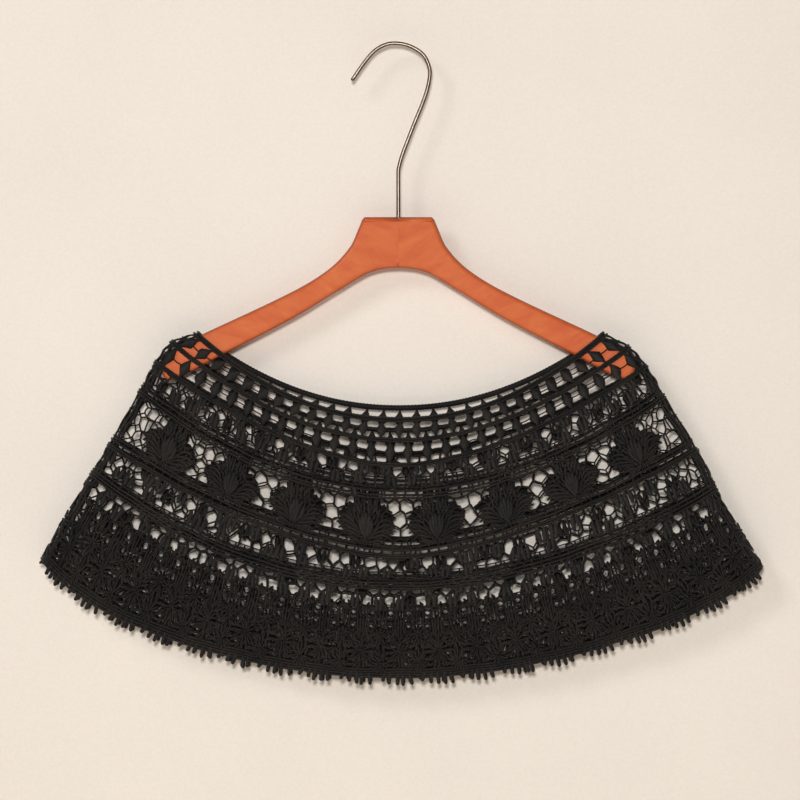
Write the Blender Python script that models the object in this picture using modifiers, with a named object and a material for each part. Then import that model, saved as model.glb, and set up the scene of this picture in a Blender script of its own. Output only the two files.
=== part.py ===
"""Black guipure lace shoulder shawl, hung flat on a wooden clothes hanger with a wire hook.

The shawl is a closed ring of lace, so its front and back hang as two panels that meet in a fold over
the hanger's arms and down both sides. A panel is a wall with the lace's larger gaps cut through and its
ribbons, blobs and shells raised on the outer face. Metres, +Z up, +X right and -Y the front. The origin
is on the inside of the hook's crown, where the hanger rests on its rod.
"""
import math
from typing import NamedTuple

import bmesh
import bpy
import numpy as np
from mathutils import Vector

PART_NAME = "lace_shawl_on_hanger"
SEAM_GAP = 0.0003
MERGE_DISTANCE = 0.00001

# The garment's middle line, the thickness of its lace and the form of its cross lines
MIDDLE_X = 0.0054
WALL = 0.0015
RAISED_WALL = 0.0026
DROOP_POWER = 12
LENGTH_SAMPLES = 401

# How far the back neck edge stands above the front one, and the row line where that ends
BACK_RISE = 0.0105
BACK_RISE_ENDS = 5.0

# Flutes of the hanging cloth, as waves across one panel
FRONT_FLUTES = ((5.0, 0.4, 0.55), (8.6, 2.1, 0.30), (13.0, 4.0, 0.15))
BACK_FLUTES = ((4.2, 2.6, 0.55), (7.8, 0.9, 0.30), (12.0, 5.2, 0.15))


class RowLine(NamedTuple):
    """One ribbon line of a panel, from its side folds to the middle, as heights below the hook's rest."""
    name: str
    reach_left: float
    reach_right: float
    drop_left: float
    drop_right: float
    drop_middle: float
    curve: float
    droop_left: float
    droop_right: float
    half_gap: float
    flute: float
    fold_radius: float


ROW_LINES = (
    RowLine("neck", .1800, .1827, .2588, .2588, .3348, 2.10, 0, 0, .0070, .0, .0040),
    RowLine("ribbon 1", .2043, .2070, .2669, .2714, .3551, 1.95, 0, 0, .0070, .0, .0040),
    RowLine("ribbon 2", .2187, .2223, .2849, .2885, .3776, 1.70, 0, 0, .0070, .0, .0042),
    RowLine("ribbon 3", .2331, .2385, .3110, .3155, .4059, 1.95, 0, 0, .0072, .0003, .0050),
    RowLine("ribbon 4", .2610, .2682, .3596, .3641, .4604, 1.65, 0, 0, .0078, .0010, .0060),
    RowLine("ribbon 5", .2763, .2853, .3848, .3983, .4872, 2.05, 0, 0, .0082, .0016, .0065),
    RowLine("flower edge", .2871, .2943, .4032, .4163, .5072, 2.00, 0, 0, .0086, .0022, .0070),
    RowLine("hem", .3210, .3267, .4620, .4700, .5680, 2.00, .0200, .0130, .0096, .0036, .0080),
)


class Strip(NamedTuple):
    """One row of lace between two levels, counted in row lines, with its repeats and largest gap."""
    name: str
    top: float
    bottom: float
    repeats: int
    kind: str
    gap_width: float
    gap_height: float
    slant: float


STRIPS = (
    Strip("blobs 1", 0.21, 0.87, 27, "blobs", .88, .82, 0),
    Strip("blobs 2", 1.11, 1.87, 28, "blobs", .88, .84, 0),
    Strip("leaves", 2.10, 2.88, 36, "alternate", .72, .46, .12),
    Strip("shells", 3.06, 3.84, 9, "shells", 0, 0, 0),
    Strip("eyelets", 4.12, 4.60, 28, "alternate", .50, .74, .22),
    Strip("rhombs", 5.18, 5.95, 36, "alternate", .46, .84, .0),
    Strip("flowers", 6.05, 7.00, 38, "flowers", 0, 0, 0),
)
BLOB_REACH = 0.27
FLOWER_ROWS = 3
FLOWER_RIB_REPEAT = 2
FLOWER_RAISE = 0.8
END_SHELL_SHARE = 0.68

# How far each kind of point is raised, from 0 for the plain wall to 1 for the full ribbon
RIBBON = 1.0
BLOB_RIM = 0.5
GAP_RIM = 0.3
NET = 0.1

# Turns of a side fold's quarter round at which the wall has points
FOLD_TURNS_DEG = (0, 30, 60, 90)

# Picot fingers of the hem, in groups that step outward and start again
PICOT_GROUPS = 19
PICOT_LENGTHS = (.0036, .0050, .0062, .0072, .0080)
PICOT_TIP_SHARE = 0.42
HEM_STEP = 0.01

# Neck band, a flat trim that lies between two levels just above the first strip
BAND_TOP = 0.0
BAND_BOTTOM = 0.19
BAND_THICKNESS = 0.0026
BAND_POINTS = 30

# Wooden hanger, drawn as one half's edge points from its joint at the middle outward
HANGER_X = 0.0047
WOOD_THICKNESS = 0.0120
WOOD_EDGE = 0.0022
WOOD_EDGE_SEGMENTS = 2
WOOD_CURVE_STEPS = 3
PLATE_TOP = -0.1545
PLATE_HALF_TOP = 0.0324
PLATE_CORNER = 0.0022
PLATE_FOOT = -0.2004
HOOK_HOLE_DEPTH = 0.022
HOOK_HOLE_CLEARANCE = 0.0003

# Wire hook
WIRE_RADIUS = 0.00175
WIRE_BEVEL_RESOLUTION = 2
WIRE_STEPS = 3


class LineAtLevel(NamedTuple):
    """A panel's cross line at one level: where it runs and how deep the cloth stands there."""
    across: np.ndarray
    height: np.ndarray
    length_share: np.ndarray
    length: float
    half_gap: float
    flute: float
    fold_radius: float


def smooth_between(values, level):
    """Value of a column of the row table at a level, on a curve through the rows (Catmull-Rom)."""
    last = len(values) - 1
    start = min(max(int(math.floor(level)), 0), last - 1)
    share = level - start
    before = values[start - 1] if start > 0 else 2 * values[0] - values[1]
    after = values[start + 2] if start + 2 <= last else 2 * values[last] - values[last - 1]
    here = values[start]
    there = values[start + 1]
    slope = there - before
    bend = 2 * before - 5 * here + 4 * there - after
    twist = 3 * here - before - 3 * there + after
    return here + 0.5 * share * (slope + share * (bend + share * twist))


def line_at_level(level, is_front):
    """Cross line of one panel, with x and z as functions of a share u from -1 to 1.

    x = middle + mean reach * u + half the reach's difference * u^2
    z = -(middle drop + (side drop - middle drop) * |u|^curve), with an extra droop as u^12 at the ends
    """
    numbers = {}
    for column in RowLine._fields[1:]:
        values = [getattr(row, column) for row in ROW_LINES]
        numbers[column] = smooth_between(values, level)
    row = RowLine(name="", **numbers)
    rise = 0.0 if is_front else BACK_RISE * max(0.0, 1 - level / BACK_RISE_ENDS)
    share = np.linspace(-1, 1, LENGTH_SAMPLES)
    mean_reach = (row.reach_left + row.reach_right) / 2
    reach_lean = (row.reach_right - row.reach_left) / 2
    across = MIDDLE_X + mean_reach * share + reach_lean * share ** 2
    side_drop = (row.drop_left + row.drop_right) / 2 + share * (row.drop_right - row.drop_left) / 2
    droop = np.where(share < 0, row.droop_left, row.droop_right)
    middle = row.drop_middle - rise
    drop = middle + (side_drop + droop - middle) * np.abs(share) ** row.curve
    drop = drop - droop * np.abs(share) ** DROOP_POWER
    steps = np.hypot(np.diff(across), np.diff(drop))
    walked = np.concatenate(([0.0], np.cumsum(steps)))
    return LineAtLevel(across, -drop, walked / walked[-1], walked[-1], row.half_gap, row.flute,
                       row.fold_radius)


def surface_point(line, along, is_front):
    """Point of a panel's inner face, a share of the way along a cross line.

    Near a side fold it turns in a quarter round: y = gap * sin(a) where the distance from the fold is
    radius * (1 - cos(a)). Elsewhere y is the half gap plus the flutes, which fade out at the folds.
    """
    x = float(np.interp(along, line.length_share, line.across))
    z = float(np.interp(along, line.length_share, line.height))
    from_fold = min(along, 1 - along) * line.length
    turn = math.acos(max(-1.0, min(1.0, 1 - from_fold / line.fold_radius))) if (
        from_fold < line.fold_radius) else math.pi / 2
    fade = math.sin(math.pi * min(1.0, max(0.0, along))) ** 0.5
    wave = 0.0
    for count, start, weight in FRONT_FLUTES if is_front else BACK_FLUTES:
        wave += weight * math.sin(count * math.pi * along + start)
    depth = (line.half_gap + line.flute * wave * fade) * math.sin(turn) + SEAM_GAP / 2
    return Vector((x, -depth if is_front else depth, z))


class LaceGrid:
    """Points and faces of one panel, kept by their place along a row and their level."""

    def __init__(self, is_front):
        self.is_front = is_front
        self.index_at = {}
        self.places = []
        self.weights = []
        self.faces = []
        self.shifts = []

    def point(self, along, level, raised, below=0.0):
        """Index of the point at a place, made when new; raised is 0 to 1, below a drop in metres."""
        key = (round(along, 6), round(level, 5), round(below, 6))
        if key not in self.index_at:
            self.index_at[key] = len(self.places)
            self.places.append((along, level))
            self.weights.append(raised)
            self.shifts.append(below)
        index = self.index_at[key]
        self.weights[index] = max(self.weights[index], raised)
        return index

    def face(self, *indices):
        """One face, wound so that its normal points out of the garment."""
        self.faces.append(tuple(indices) if self.is_front else tuple(reversed(indices)))

    def edge_at(self, level, below=0.0):
        """The points on one level, from left to right."""
        found = [(along, index) for (along, at, down), index in self.index_at.items()
                 if at == round(level, 5) and down == round(below, 6)]
        return [index for _, index in sorted(found)]

    def bridge(self, upper, lower):
        """Triangles between two rows of points with unlike counts, stepping along whichever is behind."""
        high = 0
        low = 0
        while high < len(upper) - 1 or low < len(lower) - 1:
            next_high = self.places[upper[high + 1]][0] if high < len(upper) - 1 else math.inf
            next_low = self.places[lower[low + 1]][0] if low < len(lower) - 1 else math.inf
            if math.isclose(next_high, next_low, abs_tol=1e-5):
                self.face(upper[high], lower[low], lower[low + 1], upper[high + 1])
                high += 1
                low += 1
            elif next_high < next_low:
                self.face(upper[high], lower[low], upper[high + 1])
                high += 1
            else:
                self.face(upper[high], lower[low], lower[low + 1])
                low += 1


class Cell:
    """One repeat of a strip: it turns places in the unit square into points of the grid."""

    def __init__(self, grid, strip, start, end):
        self.grid = grid
        self.strip = strip
        self.start = start
        self.end = end

    def at(self, across, down, raised=0.0):
        """Index of the point at a place in the repeat, both shares from 0 to 1."""
        along = self.start + across * (self.end - self.start)
        level = self.strip.top + down * (self.strip.bottom - self.strip.top)
        return self.grid.point(along, level, raised)

    def corners(self):
        """The repeat's corners, on raised ribbons: top left, bottom left, bottom right, top right."""
        return (self.at(0, 0, RIBBON), self.at(0, 1, RIBBON), self.at(1, 1, RIBBON), self.at(1, 0, RIBBON))


def fill_blob_cell(cell):
    """Blobs on the cell's sides, with an hourglass gap between them that reaches both ribbons."""
    strip = cell.strip
    top_left, bottom_left, bottom_right, top_right = cell.corners()
    left = cell.at(0, .5, RIBBON)
    right = cell.at(1, .5, RIBBON)
    side = (1 - strip.gap_width) / 2
    end = (1 - strip.gap_height) / 2
    gap_top_left = cell.at(side, end, GAP_RIM)
    gap_left = cell.at(BLOB_REACH, .5, BLOB_RIM)
    gap_bottom_left = cell.at(side, 1 - end, GAP_RIM)
    gap_bottom_right = cell.at(1 - side, 1 - end, GAP_RIM)
    gap_right = cell.at(1 - BLOB_REACH, .5, BLOB_RIM)
    gap_top_right = cell.at(1 - side, end, GAP_RIM)
    add = cell.grid.face
    add(top_left, left, gap_left, gap_top_left)
    add(left, bottom_left, gap_bottom_left, gap_left)
    add(bottom_left, bottom_right, gap_bottom_right, gap_bottom_left)
    add(bottom_right, right, gap_right, gap_bottom_right)
    add(right, top_right, gap_top_right, gap_right)
    add(top_right, top_left, gap_top_left, gap_top_right)


def fill_single_gap_cell(cell):
    """One four-sided gap in the middle of the cell, leaning by the strip's slant."""
    strip = cell.strip
    top_left, bottom_left, bottom_right, top_right = cell.corners()
    half_width = strip.gap_width / 2
    half_height = strip.gap_height / 2
    gap_top = cell.at(.5 - strip.slant, .5 - half_height, GAP_RIM)
    gap_left = cell.at(.5 - half_width, .5 + strip.slant / 2, GAP_RIM)
    gap_bottom = cell.at(.5 + strip.slant, .5 + half_height, GAP_RIM)
    gap_right = cell.at(.5 + half_width, .5 - strip.slant / 2, GAP_RIM)
    add = cell.grid.face
    add(top_left, bottom_left, gap_left, gap_top)
    add(bottom_left, bottom_right, gap_bottom, gap_left)
    add(bottom_right, top_right, gap_right, gap_bottom)
    add(top_right, top_left, gap_top, gap_right)


def fill_plain_cell(cell):
    """A closed stretch between two gaps."""
    cell.grid.face(*cell.corners())


# Levels of a shell repeat's sides, where its radiating ribs alternate with the hollows between
SHELL_SIDES = ((0, RIBBON), (.22, NET), (.42, RIBBON), (.62, NET), (.82, RIBBON), (1, RIBBON))


class NetPoint(NamedTuple):
    """A point of a shell repeat's left half, from the shell's middle to the net's middle."""
    name: str
    across: float
    down: float
    raised: float


NET_POINTS = (
    NetPoint("top", .20, 0, RIBBON),
    NetPoint("upper outside", .24, .06, NET),
    NetPoint("upper inside", .48, .06, NET),
    NetPoint("shoulder outside", .30, .32, .9),
    NetPoint("shoulder inside", .47, .36, NET),
    NetPoint("waist", .38, .50, .9),
    NetPoint("lower outside", .36, .67, .8),
    NetPoint("lower inside", .48, .66, NET),
    NetPoint("foot outside", .29, .93, NET),
    NetPoint("foot inside", .48, .93, NET),
    NetPoint("bottom", .26, 1, RIBBON),
)
NET_MIDDLES = (
    NetPoint("top", .5, 0, RIBBON),
    NetPoint("waist upper", .5, .41, NET),
    NetPoint("waist lower", .5, .60, NET),
    NetPoint("bottom", .5, 1, RIBBON),
)


def fill_shell_cell(cell):
    """From one shell's middle to the next: half a ribbed shell each side of five net gaps.

    The gaps stand as an hourglass: two under the upper ribbon, one at the waist and two on the lower one.
    """
    middle = {point.name: cell.at(point.across, point.down, point.raised) for point in NET_MIDDLES}
    inside_points = []
    for is_left in (True, False):
        side = 0 if is_left else 1
        shell = [cell.at(side, down, raised) for down, raised in SHELL_SIDES]
        net = {}
        for point in NET_POINTS:
            across = point.across if is_left else 1 - point.across
            net[point.name] = cell.at(across, point.down, point.raised)
        inside_points.append(net)
        loops = (
            (shell[0], shell[1], net["upper outside"], net["top"]),
            (shell[1], shell[2], net["shoulder outside"], net["upper outside"]),
            (shell[2], shell[3], net["waist"], net["shoulder outside"]),
            (shell[3], shell[4], net["lower outside"], net["waist"]),
            (shell[4], shell[5], net["bottom"], net["foot outside"], net["lower outside"]),
            (net["top"], net["upper outside"], net["upper inside"], middle["top"]),
            (net["shoulder outside"], net["waist"], middle["waist upper"], net["shoulder inside"]),
            (net["waist"], net["lower outside"], net["lower inside"], middle["waist lower"]),
            (net["foot outside"], net["bottom"], middle["bottom"], net["foot inside"]),
        )
        for loop in loops:
            cell.grid.face(*(loop if is_left else reversed(loop)))
    left, right = inside_points
    cell.grid.face(middle["top"], left["upper inside"], right["upper inside"])
    cell.grid.face(left["upper inside"], left["shoulder inside"], right["shoulder inside"],
                   right["upper inside"])
    cell.grid.face(left["shoulder inside"], middle["waist upper"], right["shoulder inside"])
    cell.grid.face(middle["waist lower"], left["lower inside"], right["lower inside"])
    cell.grid.face(left["lower inside"], left["foot inside"], right["foot inside"], right["lower inside"])
    cell.grid.face(left["foot inside"], middle["bottom"], right["foot inside"])


def fill_flower_cell(cell, number):
    """Rows of the closed flower ground, its upright ribs raised in every other column."""
    for row in range(FLOWER_ROWS):
        top = row / FLOWER_ROWS
        bottom = (row + 1) / FLOWER_ROWS
        left_raise = FLOWER_RAISE * ((number + row) % FLOWER_RIB_REPEAT)
        right_raise = FLOWER_RAISE * ((number + 1 + row) % FLOWER_RIB_REPEAT)
        cell.grid.face(cell.at(0, top, left_raise), cell.at(0, bottom, left_raise),
                       cell.at(1, bottom, right_raise), cell.at(1, top, right_raise))


def cell_rows(strip):
    """The heights at which a strip's cells have points on their sides, as shares of the strip."""
    return {
        "blobs": (0, .5, 1),
        "alternate": (0, 1),
        "shells": tuple(down for down, _ in SHELL_SIDES),
        "flowers": tuple(row / FLOWER_ROWS for row in range(FLOWER_ROWS + 1)),
    }[strip.kind]


def fold_margin(strip):
    """Shares along the row of the quarter round at a side fold, from the fold inward."""
    line = line_at_level((strip.top + strip.bottom) / 2, True)
    turns = [math.radians(angle) for angle in FOLD_TURNS_DEG]
    return [line.fold_radius * (1 - math.cos(turn)) / line.length for turn in turns]


def fill_margin(grid, strip, places, from_left):
    """Closed columns of the side fold, from the panel's edge to the first or last repeat."""
    for outer, inner in zip(places, places[1:]):
        first, second = (outer, inner) if from_left else (1 - inner, 1 - outer)
        margin = Cell(grid, strip, first, second)
        rows = cell_rows(strip)
        for top, bottom in zip(rows, rows[1:]):
            grid.face(margin.at(0, top), margin.at(0, bottom), margin.at(1, bottom), margin.at(1, top))


def repeat_edges(strip, margin):
    """Where a strip's repeats begin and end along the row; the outer shell repeats are narrower."""
    widths = [1.0] * strip.repeats
    if strip.kind == "shells":
        widths[0] = widths[-1] = END_SHELL_SHARE
    walked = np.concatenate(([0.0], np.cumsum(widths)))
    return margin + walked / walked[-1] * (1 - 2 * margin)


def fill_strip(grid, strip):
    """All of one strip: its side folds and its repeats."""
    places = fold_margin(strip)
    fill_margin(grid, strip, places, True)
    edges = repeat_edges(strip, places[-1])
    for number in range(strip.repeats):
        cell = Cell(grid, strip, float(edges[number]), float(edges[number + 1]))
        if strip.kind == "blobs":
            fill_blob_cell(cell)
        elif strip.kind == "shells":
            fill_shell_cell(cell)
        elif strip.kind == "flowers":
            fill_flower_cell(cell, number)
        elif number % 2 == 0:
            fill_single_gap_cell(cell)
        else:
            fill_plain_cell(cell)
    fill_margin(grid, strip, places, False)


def fill_picots(grid):
    """Tapered fingers along the hem, longer through each group and then short again."""
    hem = STRIPS[-1].bottom
    margin = fold_margin(STRIPS[-1])[-1]
    count = PICOT_GROUPS * len(PICOT_LENGTHS)
    roots = [margin + (1 - 2 * margin) * number / count for number in range(count + 1)]
    root_level = hem + HEM_STEP
    root_points = [grid.point(along, root_level, GAP_RIM) for along in roots]
    fold_points = [grid.point(along, root_level, NET) for along in (0.0, 1.0)]
    grid.bridge(grid.edge_at(hem), [fold_points[0]] + root_points + [fold_points[1]])
    for number in range(count):
        length = PICOT_LENGTHS[number % len(PICOT_LENGTHS)]
        middle = (roots[number] + roots[number + 1]) / 2
        half_tip = (roots[number + 1] - roots[number]) * PICOT_TIP_SHARE / 2
        tips = [grid.point(middle + side * half_tip, root_level, NET, length) for side in (-1, 1)]
        grid.face(root_points[number], tips[0], tips[1], root_points[number + 1])


def lace_panel(name, is_front, material):
    """One panel: every strip, the ribbons that bridge them and the picots, thickened outward."""
    grid = LaceGrid(is_front)
    for strip in STRIPS:
        fill_strip(grid, strip)
    for upper, lower in zip(STRIPS, STRIPS[1:]):
        grid.bridge(grid.edge_at(upper.bottom), grid.edge_at(lower.top))
    fill_picots(grid)
    lines = {}
    points = []
    for (along, level), below in zip(grid.places, grid.shifts):
        if level not in lines:
            lines[level] = line_at_level(level, is_front)
        points.append(surface_point(lines[level], along, is_front) - Vector((0, 0, below)))
    mesh = bpy.data.meshes.new(name)
    mesh.from_pydata(points, [], grid.faces)
    panel = add_object(name, mesh, material)
    base = WALL / RAISED_WALL
    raised = panel.vertex_groups.new(name="raised")
    for index, weight in enumerate(grid.weights):
        raised.add([index], base + (1 - base) * weight, "REPLACE")
    shell = panel.modifiers.new("Wall", "SOLIDIFY")
    shell.thickness = RAISED_WALL
    shell.offset = 1
    shell.vertex_group = raised.name
    return panel


def neck_band(name, is_front, material):
    """Flat band along a panel's neck edge, on the panel's own surface between two levels."""
    margin = fold_margin(STRIPS[0])
    inner = [float(share) for share in np.linspace(margin[-1], 1 - margin[-1], BAND_POINTS)]
    shares = margin[:-1] + inner + [1 - share for share in reversed(margin[:-1])]
    points = []
    for level in (BAND_TOP, BAND_BOTTOM):
        line = line_at_level(level, is_front)
        points += [surface_point(line, share, is_front) for share in shares]
    faces = []
    for number in range(len(shares) - 1):
        lower = number + len(shares)
        face = (number, lower, lower + 1, number + 1)
        faces.append(face if is_front else tuple(reversed(face)))
    mesh = bpy.data.meshes.new(name)
    mesh.from_pydata(points, [], faces)
    band = add_object(name, mesh, material)
    shell = band.modifiers.new("Wall", "SOLIDIFY")
    shell.thickness = BAND_THICKNESS
    shell.offset = 1
    return band


def hanger_outline(spline, side):
    """Outline of one half of the hanger as a Bezier spline, for side -1 (left) or 1 (right)."""
    joint = SEAM_GAP / 2
    corners = (
        (joint, PLATE_FOOT), (joint, PLATE_TOP), (PLATE_HALF_TOP - PLATE_CORNER, PLATE_TOP),
        (PLATE_HALF_TOP, PLATE_TOP - PLATE_CORNER),
    )
    shoulder = ((.0362, -.1660), (.0434, -.1814), (.0617, -.2008), (.0945, -.2212))
    tip = ((.1950, -.2690), (.2080, -.2780), (.2130, -.2900), (.2085, -.3005), (.1970, -.2990))
    underside = ((.1575, -.2784), (.0945, -.2457), (.0540, -.2212), (.0279, -.2057))
    points = corners + shoulder + tip + underside
    spline.bezier_points.add(len(points) - 1)
    for number, (x, z) in enumerate(points):
        point = spline.bezier_points[number]
        point.co = (HANGER_X + side * x, z, 0)
        kind = "VECTOR" if number < len(corners) else "AUTO"
        point.handle_left_type = kind
        point.handle_right_type = kind
    spline.use_cyclic_u = True
    spline.resolution_u = WOOD_CURVE_STEPS


def hanger_half(name, side, material):
    """One half of the flat wooden hanger: its outline extruded, its edges rounded, its hook hole cut."""
    outline = bpy.data.curves.new(name, "CURVE")
    outline.dimensions = "2D"
    outline.fill_mode = "BOTH"
    outline.extrude = WOOD_THICKNESS / 2
    outline.resolution_u = WOOD_CURVE_STEPS
    hanger_outline(outline.splines.new("BEZIER"), side)
    guide = add_object(name + "_outline", outline, None)
    guide.rotation_euler = (math.pi / 2, 0, 0)
    bpy.context.view_layer.update()
    evaluated = guide.evaluated_get(bpy.context.evaluated_depsgraph_get())
    mesh = bpy.data.meshes.new_from_object(evaluated)
    mesh.transform(guide.matrix_world)
    bpy.data.objects.remove(guide, do_unlink=True)
    shape = bmesh.new()
    shape.from_mesh(mesh)
    bmesh.ops.remove_doubles(shape, verts=shape.verts, dist=MERGE_DISTANCE)
    bmesh.ops.recalc_face_normals(shape, faces=shape.faces)
    shape.to_mesh(mesh)
    shape.free()
    half = add_object(name, mesh, material)
    rounding = half.modifiers.new("Edges", "BEVEL")
    rounding.width = WOOD_EDGE
    rounding.segments = WOOD_EDGE_SEGMENTS
    rounding.limit_method = "ANGLE"
    rounding.angle_limit = math.radians(60)
    hole = half.modifiers.new("Hook hole", "BOOLEAN")
    hole.operation = "DIFFERENCE"
    hole.object = hook_hole_cutter()
    return half


def hook_hole_cutter():
    """Upright cylinder that cuts the hook's hole across the joint, shared by both halves."""
    name = "hook_hole_cutter"
    if name in bpy.data.objects:
        return bpy.data.objects[name]
    mesh = bpy.data.meshes.new(name)
    shape = bmesh.new()
    radius = WIRE_RADIUS + HOOK_HOLE_CLEARANCE
    bmesh.ops.create_cone(shape, cap_ends=True, segments=16, radius1=radius, radius2=radius,
                          depth=2 * HOOK_HOLE_DEPTH)
    shape.to_mesh(mesh)
    shape.free()
    cutter = bpy.data.objects.new(name, mesh)
    collection_named("cutters").objects.link(cutter)
    cutter.location = (HANGER_X, 0, PLATE_TOP)
    cutter.hide_render = True
    cutter.display_type = "WIRE"
    return cutter


def smooth_route(points, steps):
    """Points of a Catmull-Rom curve through the given ones, with some steps in each stretch."""
    count = len(points) - 1
    levels = [number / steps for number in range(count * steps + 1)]
    return [tuple(smooth_between([point[axis] for point in points], level) for axis in (0, 1))
            for level in levels]


def hanger_hook(name, material):
    """Bent wire hook, from its open tip over the crown and down into the plate."""
    bend = (
        (-.0368, -.0312), (-.0262, -.0158), (-.0162, -.0045), (-.0047, .0013), (.0070, .0016),
        (.0180, -.0018), (.0273, -.0085), (.0322, -.0180), (.0331, -.0274), (.0290, -.0454),
        (.0177, -.0739), (.0082, -.0990), (HANGER_X, -.1120),
    )
    stem = ((HANGER_X, -.1260), (HANGER_X, PLATE_TOP), (HANGER_X, PLATE_TOP - HOOK_HOLE_DEPTH + SEAM_GAP))
    route = smooth_route(bend, WIRE_STEPS) + list(stem)
    wire = bpy.data.curves.new(name, "CURVE")
    wire.dimensions = "3D"
    wire.bevel_depth = WIRE_RADIUS
    wire.bevel_resolution = WIRE_BEVEL_RESOLUTION
    wire.use_fill_caps = True
    spline = wire.splines.new("POLY")
    spline.points.add(len(route) - 1)
    for point, (x, z) in zip(spline.points, route):
        point.co = (x, 0, z, 1)
    return add_object(name, wire, material)


def collection_named(name):
    """The collection of that name, made and linked when new."""
    if name not in bpy.data.collections:
        bpy.context.scene.collection.children.link(bpy.data.collections.new(name))
    return bpy.data.collections[name]


def add_object(name, data, material):
    """Object in the part's collection, with its material when it has one."""
    thing = bpy.data.objects.new(name, data)
    collection_named(PART_NAME).objects.link(thing)
    if material is not None:
        data.materials.append(material)
    return thing


def plain_material(name, colour, roughness, metallic):
    """Principled material from a linear colour, a roughness and a metallic value."""
    material = bpy.data.materials.new(name)
    material.use_nodes = True
    shader = material.node_tree.nodes["Principled BSDF"]
    shader.inputs["Base Color"].default_value = (*colour, 1)
    shader.inputs["Roughness"].default_value = roughness
    shader.inputs["Metallic"].default_value = metallic
    return material


def main():
    """Clear the scene and build every piece."""
    for thing in list(bpy.data.objects):
        bpy.data.objects.remove(thing, do_unlink=True)
    for name, is_front in (("shawl_front", True), ("shawl_back", False)):
        lace_panel(name, is_front, plain_material(name, (.010, .010, .011), .75, 0))
    for name, is_front in (("neck_band_front", True), ("neck_band_back", False)):
        neck_band(name, is_front, plain_material(name, (.008, .008, .009), .70, 0))
    for name, side in (("hanger_left", -1), ("hanger_right", 1)):
        hanger_half(name, side, plain_material(name, (.62, .135, .045), .38, 0))
    hanger_hook("hanger_hook", plain_material("hook_steel", (.56, .55, .53), .28, 1))


main()
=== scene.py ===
"""Black guipure lace shoulder shawl on a wooden hanger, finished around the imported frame.

The shawl is one closed ring of chemical lace. Every ribbon, blob, leaf, shell, petal and picot of it is a
stitched cord with its own cross-section, laid on the same hanging surface that the frame's solids have.
A place on that surface is a turn (0 to 1 along the front from left to right, 1 to 2 back along the back)
and a level (counted in ribbon lines, from 0 at the neck edge to 7 at the hem). Metres, +Z up, -Y front.
"""
from __future__ import annotations

import logging
import math
from dataclasses import dataclass
from enum import Enum

import bpy
import numpy as np
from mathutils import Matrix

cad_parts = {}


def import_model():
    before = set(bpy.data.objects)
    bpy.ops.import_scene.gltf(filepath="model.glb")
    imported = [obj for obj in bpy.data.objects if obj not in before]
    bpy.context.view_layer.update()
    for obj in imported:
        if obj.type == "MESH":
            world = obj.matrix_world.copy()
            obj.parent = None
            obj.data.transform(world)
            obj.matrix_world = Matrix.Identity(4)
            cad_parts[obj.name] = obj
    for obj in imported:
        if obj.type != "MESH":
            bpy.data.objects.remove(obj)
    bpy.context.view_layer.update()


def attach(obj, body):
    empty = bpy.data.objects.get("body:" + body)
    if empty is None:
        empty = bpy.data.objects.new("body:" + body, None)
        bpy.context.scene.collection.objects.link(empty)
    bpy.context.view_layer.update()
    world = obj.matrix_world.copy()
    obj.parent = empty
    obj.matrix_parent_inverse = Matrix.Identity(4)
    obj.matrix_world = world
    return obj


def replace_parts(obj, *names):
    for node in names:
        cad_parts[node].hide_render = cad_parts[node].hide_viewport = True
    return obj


LOG = logging.getLogger("lace_shawl")
BODY = "root"
MM = 0.001

# One pixel of the photograph in metres, and where the frame's origin lies in it
PIXEL = 0.9 * MM
PHOTO_SIDE = 800
ORIGIN_PIXEL = (393.0, 45.5)

Array = np.ndarray


# Finishes


def linear(hex_colour: str) -> tuple[float, float, float, float]:
    """Linear colour of an sRGB hex value.

    Args:
        hex_colour: Six hex digits, such as "d6673c".

    Returns:
        Red, green, blue and an alpha of 1, where c = ((s + 0.055) / 1.055) ^ 2.4 above the toe.
    """
    parts = [int(hex_colour[i:i + 2], 16) / 255 for i in (0, 2, 4)]
    red, green, blue = (s / 12.92 if s <= 0.04045 else ((s + 0.055) / 1.055) ** 2.4 for s in parts)
    return red, green, blue, 1.0


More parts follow.
